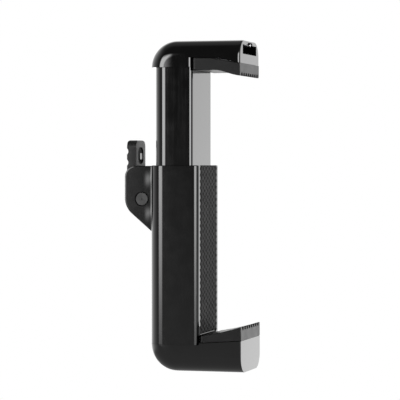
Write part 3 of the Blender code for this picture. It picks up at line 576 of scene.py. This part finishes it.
def make_housing():
    """The outer tube with its mouth, ears, pin seats and the recess of the textured pad."""
    outer = (HALF_WIDTH, BODY_FRONT, BODY_BACK, *HOUSING_RADII)
    mouth = (RAIL_HIGH.x + GAP, RAIL_LOW.y - GAP, RAIL_HIGH.y + GAP, *MOUTH_RADII)
    housing = as_object("housing_shell", open_tube(outer, mouth, SEAM_Z + TINY, HOUSING_HIGH.z,
                                                   HOUSING_FLOOR_TOP, 0.08 * MM, RIM_ROUND))
    recess = PAD_HIGH.x + GAP
    stop_low, stop_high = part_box("stop_screw")
    stop_half = (stop_high.z - stop_low.z) / 2 + GAP
    stop_z = (stop_high.z + stop_low.z) / 2
    boss_low, boss_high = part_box("brake_facing")
    window = boss_high.x + GAP, (boss_high.z - boss_low.z) / 2 + GAP
    tools = [(make_ear(-1), "UNION"), (make_ear(1), "UNION")]
    cuts = [
        block((-recess, BODY_FRONT - MM, PAD_LOW.z - GAP),
              (recess, BODY_FRONT + PAD_RECESS_DEPTH, HOUSING_HIGH.z + MM)),
        block((-stop_half, BODY_FRONT - MM, stop_z - SLIDE_TRAVEL - stop_half),
              (stop_half, RAIL_LOW.y - 0.1 * MM, stop_z + stop_half)),
        block((-window[0], RAIL_HIGH.y, PIN_Z - window[1]),
              (window[0], BODY_BACK + 0.1 * MM, PIN_Z + window[1])),
        turned("X", (PIN_Y, PIN_Z), [(-EAR_OUTER - MM, PIN_SHANK_RADIUS + GAP),
                                     (EAR_OUTER + MM, PIN_SHANK_RADIUS + GAP)]),
    ]
    for side in (-1, 1):
        floor = side * (EAR_OUTER - PIN_HEAD_DEPTH - GAP)
        lip = side * (EAR_OUTER - 0.12 * MM)
        cuts.append(turned("X", (PIN_Y, PIN_Z), [
            (floor, PIN_SEAT_RADIUS), (lip, PIN_SEAT_RADIUS),
            (side * (EAR_OUTER + 0.08 * MM), PIN_SEAT_RADIUS + PIN_SEAT_CHAMFER),
            (side * (EAR_OUTER + MM), PIN_SEAT_RADIUS + PIN_SEAT_CHAMFER)], 64))
        cuts.append(turned("Z", (side * JAW_SCREW[0], JAW_SCREW[1]), [
            (HOUSING_LOW.z - MM, SCREW_RADII[1] + GAP), (HOUSING_FLOOR_TOP + MM, SCREW_RADII[1] + GAP)], 24))
    anchor_low, anchor_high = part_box("spring_anchor_lower")
    cuts.append(block((anchor_low.x - GAP, anchor_low.y - GAP, HOUSING_LOW.z - MM),
                      (anchor_high.x + GAP, anchor_high.y + GAP, anchor_high.z + GAP)))
    cuts.append(turned("Z", (0.0, RAIL_MID_Y), [(HOUSING_LOW.z - MM, HOOK_HOLE),
                                                (HOUSING_FLOOR_TOP + MM, HOOK_HOLE)], 32))
    tools += [(cutter, "DIFFERENCE") for cutter in cuts]
    combine(housing, tools)
    return finish_piece(housing, "lower_clamp", "satin_shell", ["housing"])


def make_back_pad():
    """The rubber pad on the housing: a fine sheet of round dimples in a close-packed pattern."""
    half_width, face = PAD_HIGH.x, PAD_LOW.y
    columns = int(2 * half_width / PAD_CELL)
    rows = int((PAD_HIGH.z - PAD_LOW.z) / PAD_CELL)
    across = DIMPLE_PITCH * math.sqrt(3.0)

    def dimple(x, z):
        """How deep the nearest dimple is at a point."""
        deepest = 0.0
        for shift_x, shift_z in ((0.0, 0.0), (across / 2, DIMPLE_PITCH / 2)):
            off_x = (x - shift_x) - across * round((x - shift_x) / across)
            off_z = (z - shift_z) - DIMPLE_PITCH * round((z - shift_z) / DIMPLE_PITCH)
            away = (off_x ** 2 + off_z ** 2) / DIMPLE_RADIUS ** 2
            deepest = max(deepest, (1 - away) ** 2 if away < 1 else 0.0)
        return DIMPLE_DEPTH * deepest

    xs = edge_levels(-half_width, half_width, BACK_PAD_EDGE, BACK_PAD_EDGE, 3, columns)
    zs = edge_levels(PAD_LOW.z, PAD_HIGH.z, BACK_PAD_EDGE, BACK_PAD_EDGE, 3, rows)
    data = bmesh.new()
    grid = []
    for z in zs:
        row = []
        for x in xs:
            depth = min(half_width - abs(x), z - PAD_LOW.z, PAD_HIGH.z - z)
            y = face + edge_fall(depth, BACK_PAD_EDGE) + dimple(x, z - PAD_LOW.z)
            row.append(data.verts.new((x, y, z)))
        grid.append(row)
    for lower, upper in zip(grid, grid[1:]):
        for index in range(len(xs) - 1):
            data.faces.new((lower[index], lower[index + 1], upper[index + 1], upper[index]))
    back = [data.verts.new((x, PAD_HIGH.y, z)) for x, z in (
        (xs[0], zs[0]), (xs[-1], zs[0]), (xs[-1], zs[-1]), (xs[0], zs[-1]))]
    data.faces.new(back)
    sides = (grid[0], [row[-1] for row in grid], list(reversed(grid[-1])), [row[0] for row in reversed(grid)])
    for number, side in enumerate(sides):
        data.faces.new([*side, back[(number + 1) % 4], back[number]])
    pad = as_object("back_pad_dimpled", data)
    return finish_piece(pad, "lower_clamp", "textured_rubber", ["back_pad"], 45.0)


# ---------------------------------------------------------------- jaws

def jaw_section(half_width, height, corner):
    """A D-shaped jaw section: flat on the inside, round at both outer corners."""
    return rounded_outline([
        (-half_width, 0.0, 0.0), (-half_width, height, corner),
        (half_width, height, corner), (half_width, 0.0, 0.0)])


def jaw_half_width(y):
    """The half width of a jaw, which narrows from its root to its tip."""
    return HALF_WIDTH - JAW_TAPER * max(0.0, (JAW_TAPER_START - y) / (JAW_TAPER_START - TIP_Y))


def jaw_skin(root_z, outward, height_at, tip_y, tip_round, corner):
    """A jaw: a quarter turn at the back, a straight run and a softened tip."""
    height = height_at(0.0)
    bend_y = BODY_BACK - height
    rings = []
    bend_steps = 28
    for step in range(bend_steps + 1):
        turn = math.pi / 2 * step / bend_steps
        rings.append([
            Vector((x, bend_y + h * math.cos(turn), root_z + outward * h * math.sin(turn)))
            for x, h in jaw_section(HALF_WIDTH, height, corner)])
    outer_z = root_z + outward * height
    levels = sorted([bend_y - 0.3 * MM, JAW_TAPER_START, BODY_FRONT + TINY, BOTTOM_PAD_ROOT], reverse=True)
    levels += spaced(BOTTOM_PAD_ROOT, tip_y + tip_round, 12)[1:-1]
    tip = [(tip_y + tip_round * (1 - math.sin(turn)), tip_round * (1 - math.cos(turn)))
           for turn in spaced(0.0, math.pi / 2, 8)]
    for y, inset in [(y, 0.0) for y in levels] + tip:
        full = height_at(y)
        section = jaw_section(jaw_half_width(y) - inset, full - 0.3 * inset, corner - inset)
        rings.append([Vector((x, y, outer_z + outward * (h - full))) for x, h in section])
    return skin(rings, True)


def bottom_shell_top(y):
    """The level of the bottom jaw's shell under its rubber."""
    share = (y - BOTTOM_PAD_ROOT) / (TIP_Y - BOTTOM_PAD_ROOT)
    return BOTTOM_SHELL_LEVELS[0] + (BOTTOM_SHELL_LEVELS[1] - BOTTOM_SHELL_LEVELS[0]) * share


def make_bottom_jaw():
    """The lower L-shaped shell with its seats for the insert and the two screws."""
    def height_at(y):
        return SEAM_Z if y > BODY_FRONT else max(SEAM_Z, bottom_shell_top(y))

    jaw = as_object("bottom_jaw_shell", jaw_skin(SEAM_Z, -1, height_at, TIP_Y, BOTTOM_JAW_TIP_ROUND,
                                                 BOTTOM_JAW_CORNER))
    seat = INSERT_RADII[0] + 0.15 * MM
    cuts = [block((-HOOK_HOLE, RAIL_MID_Y - HOOK_HOLE, SEAM_Z - HOOK_POCKET_DEPTH),
                  (HOOK_HOLE, RAIL_MID_Y + HOOK_HOLE, SEAM_Z + MM)),
            turned("Z", (0.0, INSERT_Y), [(-MM, seat + 0.35 * MM), (0.0, seat + 0.35 * MM), (0.25 * MM, seat),
                                          (INSERT_LENGTH + 2 * GAP, seat)])]
    for side in (-1, 1):
        head = SCREW_RADII[0] + GAP
        top = JAW_SCREW[2] + SCREW_HEAD_HEIGHT + GAP
        shank = SCREW_RADII[1] + GAP
        cuts.append(turned("Z", (side * JAW_SCREW[0], JAW_SCREW[1]), [
            (-MM, head + 0.25 * MM), (0.0, head + 0.25 * MM), (0.25 * MM, head), (top, head),
            (top, shank), (SEAM_Z + MM, shank)], 40))
    combine(jaw, [(cutter, "DIFFERENCE") for cutter in cuts])
    return finish_piece(jaw, "lower_clamp", "gloss_shell", ["bottom_jaw"])


def top_bed(y):
    """The level of the top jaw's bed, flat at the root and sloping down to the tip past a soft bend."""
    past = TOP_PAD_BEND_Y - y
    return TOP_PAD_LEVEL - TOP_PAD_SLOPE * (past + math.hypot(past, TOP_PAD_BEND_WIDTH)) / 2


def make_top_jaw():
    """The upper L-shaped shell with its pad bed and its accessory slot."""
    height = TOP_HIGH.z - TOP_LOW.z
    jaw = as_object("top_jaw_shell", jaw_skin(TOP_LOW.z, 1, lambda y: height, TOP_TIP_Y, TOP_JAW_TIP_ROUND,
                                              TOP_JAW_CORNER))
    below = TOP_LOW.z - MM
    past_tip = TIP_Y - MM
    wide = HALF_WIDTH + MM
    run = spaced(TOP_ROOT_FRONT, past_tip, 80)
    bed = [(TOP_ROOT_FRONT, below)] + [(y, top_bed(y)) for y in run] + [(past_tip, below)]
    half_width, slot_low, slot_high, slot_depth = SLOT
    notch_low, notch_high, notch_top, notch_depth = SLOT_NOTCH
    slot = rounded_outline([(-half_width, slot_low, SLOT_CORNER), (half_width, slot_low, SLOT_CORNER),
                            (half_width, slot_high, SLOT_CORNER), (-half_width, slot_high, SLOT_CORNER)], 4)
    notch_foot = slot_high - 0.2 * MM
    notch = rounded_outline([(notch_low, notch_foot, 0.0), (notch_high, notch_foot, 0.0),
                             (notch_high, notch_top, NOTCH_CORNER), (notch_low, notch_top, NOTCH_CORNER)], 8)
    pin_x, pin_z, pin_radius = CATCH_PIN
    cuts = [extruded("X", bed, -wide, wide),
            extruded("Y", slot, past_tip, TIP_Y + slot_depth),
            extruded("Y", notch, past_tip, TIP_Y + notch_depth),
            turned("Y", (pin_x, pin_z), [(past_tip, pin_radius + 0.1 * MM),
                                         (TIP_Y + 4.1 * MM, pin_radius + 0.1 * MM)], 32),
            block((-HOOK_HOLE, RAIL_MID_Y - HOOK_HOLE, below),
                  (HOOK_HOLE, RAIL_MID_Y + HOOK_HOLE, TOP_LOW.z + HOOK_POCKET_DEPTH))]
    for side in (-1, 1):
        corner_x = side * (HALF_WIDTH - 0.05 * MM)
        centre = (corner_x - side * TOP_ROOT_ROUND, TOP_ROOT_FRONT + TOP_ROOT_ROUND)
        arc = [(centre[0] + side * TOP_ROOT_ROUND * math.sin(turn),
                centre[1] - TOP_ROOT_ROUND * math.cos(turn)) for turn in spaced(0.0, math.pi / 2, 9)]
        outline = arc + [(side * wide, centre[1]), (side * wide, TOP_ROOT_FRONT - 0.5 * MM),
                         (centre[0], TOP_ROOT_FRONT - 0.5 * MM)]
        cuts.append(extruded("Z", outline, below, top_bed(TOP_ROOT_FRONT) - TINY))
        cuts.append(turned("Z", (side * TOP_SCREW_X, RAIL_MID_Y), [
            (below, SCREW_RADII[1] + GAP), (TOP_LOW.z + TOP_SCREW_DEPTH + GAP, SCREW_RADII[1] + GAP)], 24))
    combine(jaw, [(cutter, "DIFFERENCE") for cutter in cuts])
    return finish_piece(jaw, "slider", "gloss_shell", ["top_jaw"])


def rib_groove(x, y, tip_y):
    """How deep the ribs' grooves are at a point: only near the tip, with soft ends."""
    edge = (RIB_COUNT / 2) * RIB_PITCH
    if abs(x) > edge:
        return 0.0
    wave = 0.5 + 0.5 * math.cos(2 * math.pi * (x / RIB_PITCH - 0.5))
    return RIB_DEPTH * smooth(wave, 0.1, 0.5) * smooth(tip_y + RIB_LENGTH - y, 0.0, RIB_FADE)


def pad_ring(y, inner, outer, half_width, groove_up, tip_y):
    """One upright ring of a jaw pad between two levels, with grooves in its free face."""
    low, high = min(inner, outer), max(inner, outer)
    turns = spaced(0.0, math.pi / 2, 4)
    xs = spaced(-(half_width - PAD_EDGE), half_width - PAD_EDGE, 129)
    points = []
    for x in xs:
        points.append((x, low + (rib_groove(x, y, tip_y) if groove_up else 0.0)))
    for turn in turns[1:]:
        points.append((half_width - PAD_EDGE * (1 - math.sin(turn)), low + PAD_EDGE * (1 - math.cos(turn))))
    for turn in turns[1:]:
        points.append((half_width - PAD_EDGE * (1 - math.cos(turn)), high - PAD_EDGE * (1 - math.sin(turn))))
    for x in reversed(xs[:-1]):
        points.append((x, high - (0.0 if groove_up else rib_groove(x, y, tip_y))))
    for turn in turns[1:]:
        points.append((-half_width + PAD_EDGE * (1 - math.sin(turn)), high - PAD_EDGE * (1 - math.cos(turn))))
    for turn in turns[1:-1]:
        points.append((-half_width + PAD_EDGE * (1 - math.cos(turn)), low + PAD_EDGE * (1 - math.sin(turn))))
    return [Vector((x, y, z)) for x, z in points]


def make_jaw_pad(name, root, tip_y, levels_at, groove_up):
    """A moulded rubber pad along a jaw, with a rounded root and a ribbed tip."""
    free = -1 if groove_up else 1
    rings = []
    for y in reversed(edge_levels(tip_y, root, PAD_TIP_ROUND, PAD_ROOT_ROUND, 5, 60)):
        inner, outer = levels_at(y)
        tip_inset = edge_fall(y - tip_y, PAD_TIP_ROUND)
        side_inset = tip_inset + edge_fall(root - y, PAD_ROOT_ROUND) + PAD_SIDE_PLAY
        free_inset = tip_inset + edge_fall(root - y, 0.4 * PAD_ROOT_ROUND)
        rings.append(pad_ring(y, inner, outer - free * free_inset, jaw_half_width(y) - side_inset,
                              groove_up, tip_y))
    return as_object(name, skin(rings))


def make_bottom_jaw_pad():
    """The wedge of rubber on the bottom jaw."""
    def levels_at(y):
        along = BOTTOM_PAD_ROOT - y
        base, slope, curve = BOTTOM_PAD_RISE
        return bottom_shell_top(y) + PAD_SEAT_PLAY, base + slope * along + curve * along ** 2

    pad = make_jaw_pad("bottom_jaw_pad_ribbed", BOTTOM_PAD_ROOT, TIP_Y, levels_at, False)
    return finish_piece(pad, "lower_clamp", "pad_rubber", ["bottom_jaw_pad"], 40.0)


def make_top_jaw_pad():
    """The rubber pad under the top jaw, bent down towards its tip."""
    def levels_at(y):
        drop = TOP_PAD_DROP * smooth(TOP_PAD_BEND_Y - y, 0.0, TOP_PAD_BEND_Y - TIP_Y)
        return top_bed(y) - PAD_SEAT_PLAY, TOP_PAD_LEVEL - TOP_PAD_THICKNESS - drop

    pad = make_jaw_pad("top_jaw_pad_ribbed", TOP_PAD_ROOT, TOP_TIP_Y, levels_at, True)
    return finish_piece(pad, "slider", "pad_rubber", ["top_jaw_pad"], 40.0)


def make_catch_pin():
    """The small domed steel pin in the notch over the slot."""
    low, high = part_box("slot_catch_pin")
    radius = CATCH_PIN[2]
    profile = [(low.y + radius * (1 - math.sin(turn)) * 0.7, max(TINY, radius * math.cos(turn)))
               for turn in spaced(math.pi / 2, 0.0, 9)]
    pin = as_object("slot_catch_pin_domed", turned("Y", CATCH_PIN[:2], profile + [(high.y, radius)], 32))
    return finish_piece(pin, "slider", "steel", ["slot_catch_pin"])


# ---------------------------------------------------------------- rail and lever

def make_rail():
    """The hollow rail with soft edges, closed at the top."""
    outer = (RAIL_HIGH.x, RAIL_LOW.y, RAIL_HIGH.y, *RAIL_RADII)
    hollow = (RAIL_HIGH.x - RAIL_WALL, RAIL_LOW.y + RAIL_WALL, RAIL_HIGH.y - RAIL_WALL,
              RAIL_HOLLOW_CORNER, RAIL_RADII[1] - RAIL_WALL)
    low, high, edge = RAIL_LOW.z, TOP_LOW.z - TINY, 0.2 * MM
    rings = [tube_ring(hollow, high - RAIL_END_WALL), tube_ring(hollow, low), tube_ring(outer, low, edge),
             tube_ring(outer, low + edge)]
    rings += [tube_ring(outer, z) for z in spaced(low + edge, high - 0.05 * MM, 12)[1:]]
    rings.append(tube_ring(outer, high, 0.05 * MM))
    return finish_piece(as_object("rail_tube", skin(rings)), "slider", "rail_gloss", ["rail"])


def cam_front(z):
    """How far forward the lever reaches at a height."""
    if z > NECK_TOP:
        return LEVER_FRONT
    rise = z - PIN_Z
    if rise > CAM_RADII[0]:
        share = (rise - CAM_RADII[0]) / (NECK_TOP - PIN_Z - CAM_RADII[0])
        return PIN_Y + (LEVER_FRONT - PIN_Y) * math.sin(share * math.pi / 2)
    radius = CAM_RADII[0]
    if rise < 0:
        for _ in range(4):
            turn = math.asin(min(1.0, -rise / radius))
            radius = CAM_RADII[0] - (CAM_RADII[0] - CAM_RADII[1]) * turn / CAM_SWING
    return PIN_Y - math.sqrt(max(0.0, radius ** 2 - rise ** 2))


def lever_back(z):
    """How far back the lever reaches at a height, with its thumb scallops."""
    heel_y, heel_z = HEEL
    if z < heel_z + HEEL_RISE:
        share = 1 - max(0.0, z - heel_z) / HEEL_RISE
        return heel_y + (REAR_Y - heel_y) * math.sqrt(max(0.0, 1 - share ** 2))
    back = REAR_Y
    for level in SCALLOP_LEVELS:
        off = abs(z - level)
        if off < SCALLOP_RADIUS:
            cut = math.sqrt(SCALLOP_RADIUS ** 2 - off ** 2) - (SCALLOP_RADIUS - SCALLOP_DEPTH)
            back = min(back, REAR_Y - max(0.0, cut))
    return back


def hole_outline(grow):
    """The finger hole's rounded outline, made larger all round by an amount."""
    half_width, half_height, radius = [size + grow for size in FINGER_HOLE]
    return rounded_outline([(-half_width, -half_height, radius), (half_width, -half_height, radius),
                            (half_width, half_height, radius), (-half_width, half_height, radius)], 12)


def make_lever():
    """The cam lever: hub, upright tab, scalloped back and an oval finger hole flared towards its back."""
    top, bottom, half_width = LEVER_HIGH.z, LEVER_LOW.z + 0.02 * MM, LEVER_HIGH.x
    levels = edge_levels(bottom, NECK_TOP, 2.0 * MM, 0.5 * MM, 8, 30)
    levels += edge_levels(NECK_TOP, top, 0.2 * MM, LEVER_CORNER, 8, 90)[1:]
    rings = []
    for z in levels:
        depth = top - z
        crown = edge_fall(depth, LEVER_CROWN)
        front, back = cam_front(z) + crown, lever_back(z) - crown
        side = half_width - edge_fall(depth, LEVER_CORNER) - LEVER_SIDE_PLAY
        corner = max(TINY, min(LEVER_EDGE, (back - front) / 2 - TINY))
        outline = rounded_outline([(-side, front, corner), (side, front, corner),
                                   (side, back, corner), (-side, back, corner)], 5)
        rings.append([Vector((x, y, z)) for x, y in outline])
    lever = as_object("cam_lever_detailed", skin(rings))
    flare = [(LEVER_FRONT - MM, FINGER_HOLE_LIP), (LEVER_FRONT, FINGER_HOLE_LIP),
             (LEVER_FRONT + 0.15 * MM, 0.06 * MM)]
    for depth in spaced(0.3 * MM, REAR_Y - LEVER_FRONT + 0.2 * MM, 14):
        flare.append((LEVER_FRONT + depth, (depth - FINGER_HOLE_WAIST) ** 2 / FINGER_HOLE_FLARE))
    hole = skin([[Vector((x, y, FINGER_HOLE_Z + z)) for x, z in hole_outline(grow)] for y, grow in flare])
    bore = turned("X", (PIN_Y, PIN_Z), [(-half_width - MM, PIN_SHANK_RADIUS + GAP),
                                        (half_width + MM, PIN_SHANK_RADIUS + GAP)])
    combine(lever, [(bore, "DIFFERENCE"), (hole, "DIFFERENCE")])
    finish_piece(lever, "lever", "lever_plastic", ["cam_lever"])
    polish_hole(lever)
    return lever


def polish_hole(lever):
    """Give the wall of the lever's finger hole the polished plastic."""
    reach_x, reach_z = FINGER_HOLE[0] + FINGER_HOLE_MARGIN, FINGER_HOLE[1] + FINGER_HOLE_MARGIN
    lever.data.materials.append(MATERIALS["gloss_shell"])
    for face in lever.data.polygons:
        x, y, z = face.center
        inside = abs(x) < reach_x and abs(z - FINGER_HOLE_Z) < reach_z and y < REAR_Y - MM
        if inside and abs(face.normal.y) < 0.6:
            face.material_index = 1


def make_lever_pin():
    """The lever's pin with two flush heads, each with a fine chamfer and a shallow centre mark."""
    shoulder = EAR_OUTER - PIN_HEAD_DEPTH
    half = [(EAR_OUTER - 0.10 * MM, 0.25 * MM), (EAR_OUTER - 0.02 * MM, 0.35 * MM),
            (EAR_OUTER - 0.02 * MM, PIN_HEAD_RADIUS - 0.15 * MM), (EAR_OUTER - 0.15 * MM, PIN_HEAD_RADIUS),
            (shoulder, PIN_HEAD_RADIUS), (shoulder, PIN_SHANK_RADIUS)]
    profile = [(-x, radius) for x, radius in half] + list(reversed(half))
    pin = as_object("lever_pin_turned", turned("X", (PIN_Y, PIN_Z), profile, 64))
    return finish_piece(pin, "lower_clamp", "black_steel", ["lever_pin"])


# ---------------------------------------------------------------- small parts

def make_thread_insert():
    """The brass insert with a cut 1/4 inch thread."""
    outer, bore = INSERT_RADII
    sides, bore_steps = 64, 60
    rings = [(GAP, outer - 0.4 * MM), (0.7 * MM, outer), (INSERT_LENGTH, outer)]
    data = bmesh.new()
    levels = []
    for z, radius in rings:
        levels.append([data.verts.new((a, b, z)) for a, b in circle((0.0, INSERT_Y), radius, sides)])
    for z in spaced(INSERT_LENGTH, GAP, bore_steps):
        ring = []
        for side in range(sides):
            turn = 2 * math.pi * side / sides
            phase = (z / THREAD_PITCH - side / sides) % 1.0
            height = THREAD_DEPTH * (1 - abs(2 * phase - 1)) * smooth(z - GAP, 0.0, 0.8 * MM)
            radius = bore - height
            ring.append(data.verts.new((radius * math.cos(turn), INSERT_Y + radius * math.sin(turn), z)))
        levels.append(ring)
    for lower, upper in zip(levels, levels[1:] + levels[:1]):
        for index in range(sides):
            following = (index + 1) % sides
            data.faces.new((lower[index], lower[following], upper[following], upper[index]))
    return finish_piece(as_object("thread_insert_cut", data), "lower_clamp", "brass", ["thread_insert"])


def make_jaw_screws():
    """The two socket screws seen from below in the bottom jaw."""
    head_radius, shank_radius = SCREW_RADII
    low, high = JAW_SCREW[2], JAW_SCREW[2] + SCREW_HEAD_HEIGHT
    for side, name in ((-1, "left"), (1, "right")):
        centre = (side * JAW_SCREW[0], JAW_SCREW[1])
        profile = [(low, head_radius - 0.2 * MM), (low + 0.2 * MM, head_radius), (high, head_radius),
                   (high, shank_radius), (HOUSING_FLOOR_TOP - GAP, shank_radius)]
        screw = as_object(f"bottom_jaw_screw_{name}_socket", turned("Z", centre, profile))
        socket = turned("Z", centre, [(low - MM, 0.95 * MM), (low + 0.8 * MM, 0.95 * MM)], 6)
        combine(screw, [(socket, "DIFFERENCE")])
        finish_piece(screw, "lower_clamp", "black_steel", [f"bottom_jaw_screw_{name}"])


def make_spring():
    """The extension spring inside the rail, built at one length; the real one shortens with the slide."""
    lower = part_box("spring_anchor_lower")
    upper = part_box("spring_anchor_upper")
    low_z = (lower[0].z + lower[1].z) / 2
    high_z = (upper[0].z + upper[1].z) / 2
    hook = ANCHOR_RADIUS + GAP + WIRE_RADIUS

    def hook_path(anchor_z, start, end):
        """The wire round an anchor pin, stretched upwards so that it clears the pin when it shortens."""
        return [(0.0, RAIL_MID_Y + hook * math.cos(turn), anchor_z + HOOK_STRETCH * hook * math.sin(turn))
                for turn in spaced(math.radians(start), math.radians(end), 20)]

    path = hook_path(low_z, 135.0, 435.0)
    per_turn = 20
    count = COIL_TURNS * per_turn
    for step in range(count + 1):
        turn = 2 * math.pi * step / per_turn
        rise = (high_z - low_z - 2 * COIL_MARGIN) * step / count
        path.append((COIL_RADIUS * math.sin(turn), RAIL_MID_Y + COIL_RADIUS * math.cos(turn),
                     low_z + COIL_MARGIN + rise))
    path += hook_path(high_z, -75.0, 225.0)
    curve = bpy.data.curves.new("spring_wire", "CURVE")
    curve.dimensions = "3D"
    curve.bevel_depth = WIRE_RADIUS
    curve.bevel_resolution = 3
    curve.use_fill_caps = True
    spline = curve.splines.new("POLY")
    spline.points.add(len(path) - 1)
    for spline_point, position in zip(spline.points, path):
        spline_point.co = (*position, 1.0)
    wire = bpy.data.objects.new("spring_wire", curve)
    bpy.context.scene.collection.objects.link(wire)
    mesh = bpy.data.meshes.new_from_object(wire.evaluated_get(bpy.context.evaluated_depsgraph_get()))
    bpy.data.objects.remove(wire)
    spring = bpy.data.objects.new("jaw_spring_coil", mesh)
    bpy.context.scene.collection.objects.link(spring)
    finish_piece(spring, "lower_clamp", "steel", ["jaw_spring"])
    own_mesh(spring)


def dress_hidden_nodes():
    """Materials of the nodes that stay inside."""
    slots = {"rail_foot": "acetal", "brake_shoe": "black_steel", "brake_facing": "pad_rubber",
             "spring_anchor_lower": "steel", "spring_anchor_upper": "steel", "stop_screw": "black_steel",
             "top_jaw_screw_left": "black_steel", "top_jaw_screw_right": "black_steel"}
    for node, slot in slots.items():
        for place in frame["nodes"][node].material_slots:
            place.material = MATERIALS[slot]


# ---------------------------------------------------------------- stage

def make_world():
    """A white studio: two upright light boxes beside a dark foreground, and walls behind and in front."""
    scene = bpy.context.scene
    scene.view_settings.view_transform = "Standard"
    world = bpy.data.worlds.new("studio")
    scene.world = world
    world.use_nodes = True
    world.node_tree.nodes.clear()
    graph = Graph(world.node_tree)
    way = graph.add("ShaderNodeSeparateXYZ", {"Vector": graph.add("ShaderNodeTexCoord").outputs["Generated"]})
    left = graph.math("MULTIPLY", way.outputs["X"], -1.0)
    bearing = graph.math("DEGREES", graph.math("ARCTAN2", way.outputs["Y"], left))
    height = graph.math("DEGREES", graph.math("ARCSINE", way.outputs["Z"]))

    def between(value, low_start, low_end, high_start, high_end):
        """One inside a range with soft ends, and nothing outside it."""
        rising = graph.fade(value, low_start, low_end)
        return graph.math("MULTIPLY", rising, graph.fade(value, high_start, high_end, 1.0, 0.0))

    upright = between(height, *BOX_HEIGHTS)
    back_box = graph.math("MULTIPLY", between(bearing, *BACK_BOX_BEARINGS), upright)
    front_box = graph.math("MULTIPLY", between(bearing, *FRONT_BOX_BEARINGS), upright)
    boxes = graph.math("MULTIPLY", graph.math("ADD", back_box, front_box), BOX_STRENGTH)
    front_wall = graph.math("MULTIPLY", graph.fade(bearing, *FRONT_WALL_NEAR),
                            graph.fade(bearing, *FRONT_WALL_FAR))
    wall_band = graph.math("MULTIPLY", graph.fade(height, *WALL_TOP), graph.fade(height, *WALL_FOOT))
    walls = graph.math("MULTIPLY", graph.math("ADD", graph.fade(bearing, *BACK_WALL), front_wall), wall_band)
    level = graph.math("ADD", graph.math("ADD", boxes, graph.fade(height, *ROOM_LIGHT)), walls)
    studio = graph.add("ShaderNodeBackground", {"Strength": level})
    plain = graph.add("ShaderNodeBackground", {"Strength": 1.0})
    plain.inputs["Color"].default_value = (1.0, 1.0, 1.0, 1.0)
    studio.inputs["Color"].default_value = (1.0, 1.0, 1.0, 1.0)
    seen = graph.add("ShaderNodeLightPath").outputs["Is Camera Ray"]
    mixed = graph.add("ShaderNodeMixShader", {"Fac": seen})
    graph.join(studio.outputs[0], mixed.inputs[1])
    graph.join(plain.outputs[0], mixed.inputs[2])
    graph.add("ShaderNodeOutputWorld", {"Surface": mixed.outputs[0]})


def make_floor():
    """A plain white floor that only the camera sees, so that it adds no light of its own."""
    size = 1.5
    data = bmesh.new()
    corners = [(-size, -size), (size, -size), (size, size), (-size, size)]
    data.faces.new([data.verts.new((x, y, -0.05 * MM)) for x, y in corners])
    floor = as_object("studio_floor", data)
    material = bpy.data.materials.new("studio_floor")
    material.use_nodes = True
    material.node_tree.nodes.clear()
    graph = Graph(material.node_tree)
    glow = graph.add("ShaderNodeEmission", {"Strength": 1.0})
    glow.inputs["Color"].default_value = (1.0, 1.0, 1.0, 1.0)
    graph.add("ShaderNodeOutputMaterial", {"Surface": glow.outputs[0]})
    floor.data.materials.append(material)
    floor.visible_diffuse = False
    floor.visible_glossy = False
    floor.visible_transmission = False
    floor.visible_shadow = False


def make_camera():
    """The camera: level with the housing's mouth, on the left and a little to the front."""
    toward = Vector((math.sin(CAMERA_AZIMUTH), -math.cos(CAMERA_AZIMUTH), 0.0))
    across = Vector((math.cos(CAMERA_AZIMUTH), math.sin(CAMERA_AZIMUTH), 0.0))
    target = across * CAMERA_SIDE_STEP + Vector((0.0, 0.0, CAMERA_TARGET_HEIGHT))
    data = bpy.data.cameras.new("camera")
    data.lens = CAMERA_LENS
    data.sensor_width = 36.0
    data.clip_start = 0.05
    camera = bpy.data.objects.new("camera", data)
    camera.location = (across * CAMERA_SIDE_STEP + toward * CAMERA_DISTANCE
                       + Vector((0.0, 0.0, CAMERA_HEIGHT)))
    camera.rotation_euler = (target - camera.location).to_track_quat("-Z", "Y").to_euler()
    bpy.context.scene.collection.objects.link(camera)
    bpy.context.scene.camera = camera


MATERIALS = make_materials()
make_camera()
make_world()
make_floor()
make_housing()
make_back_pad()
make_bottom_jaw()
make_bottom_jaw_pad()
make_rail()
make_top_jaw()
make_top_jaw_pad()
make_catch_pin()
make_lever()
make_lever_pin()
make_thread_insert()
make_jaw_screws()
make_spring()
dress_hidden_nodes()
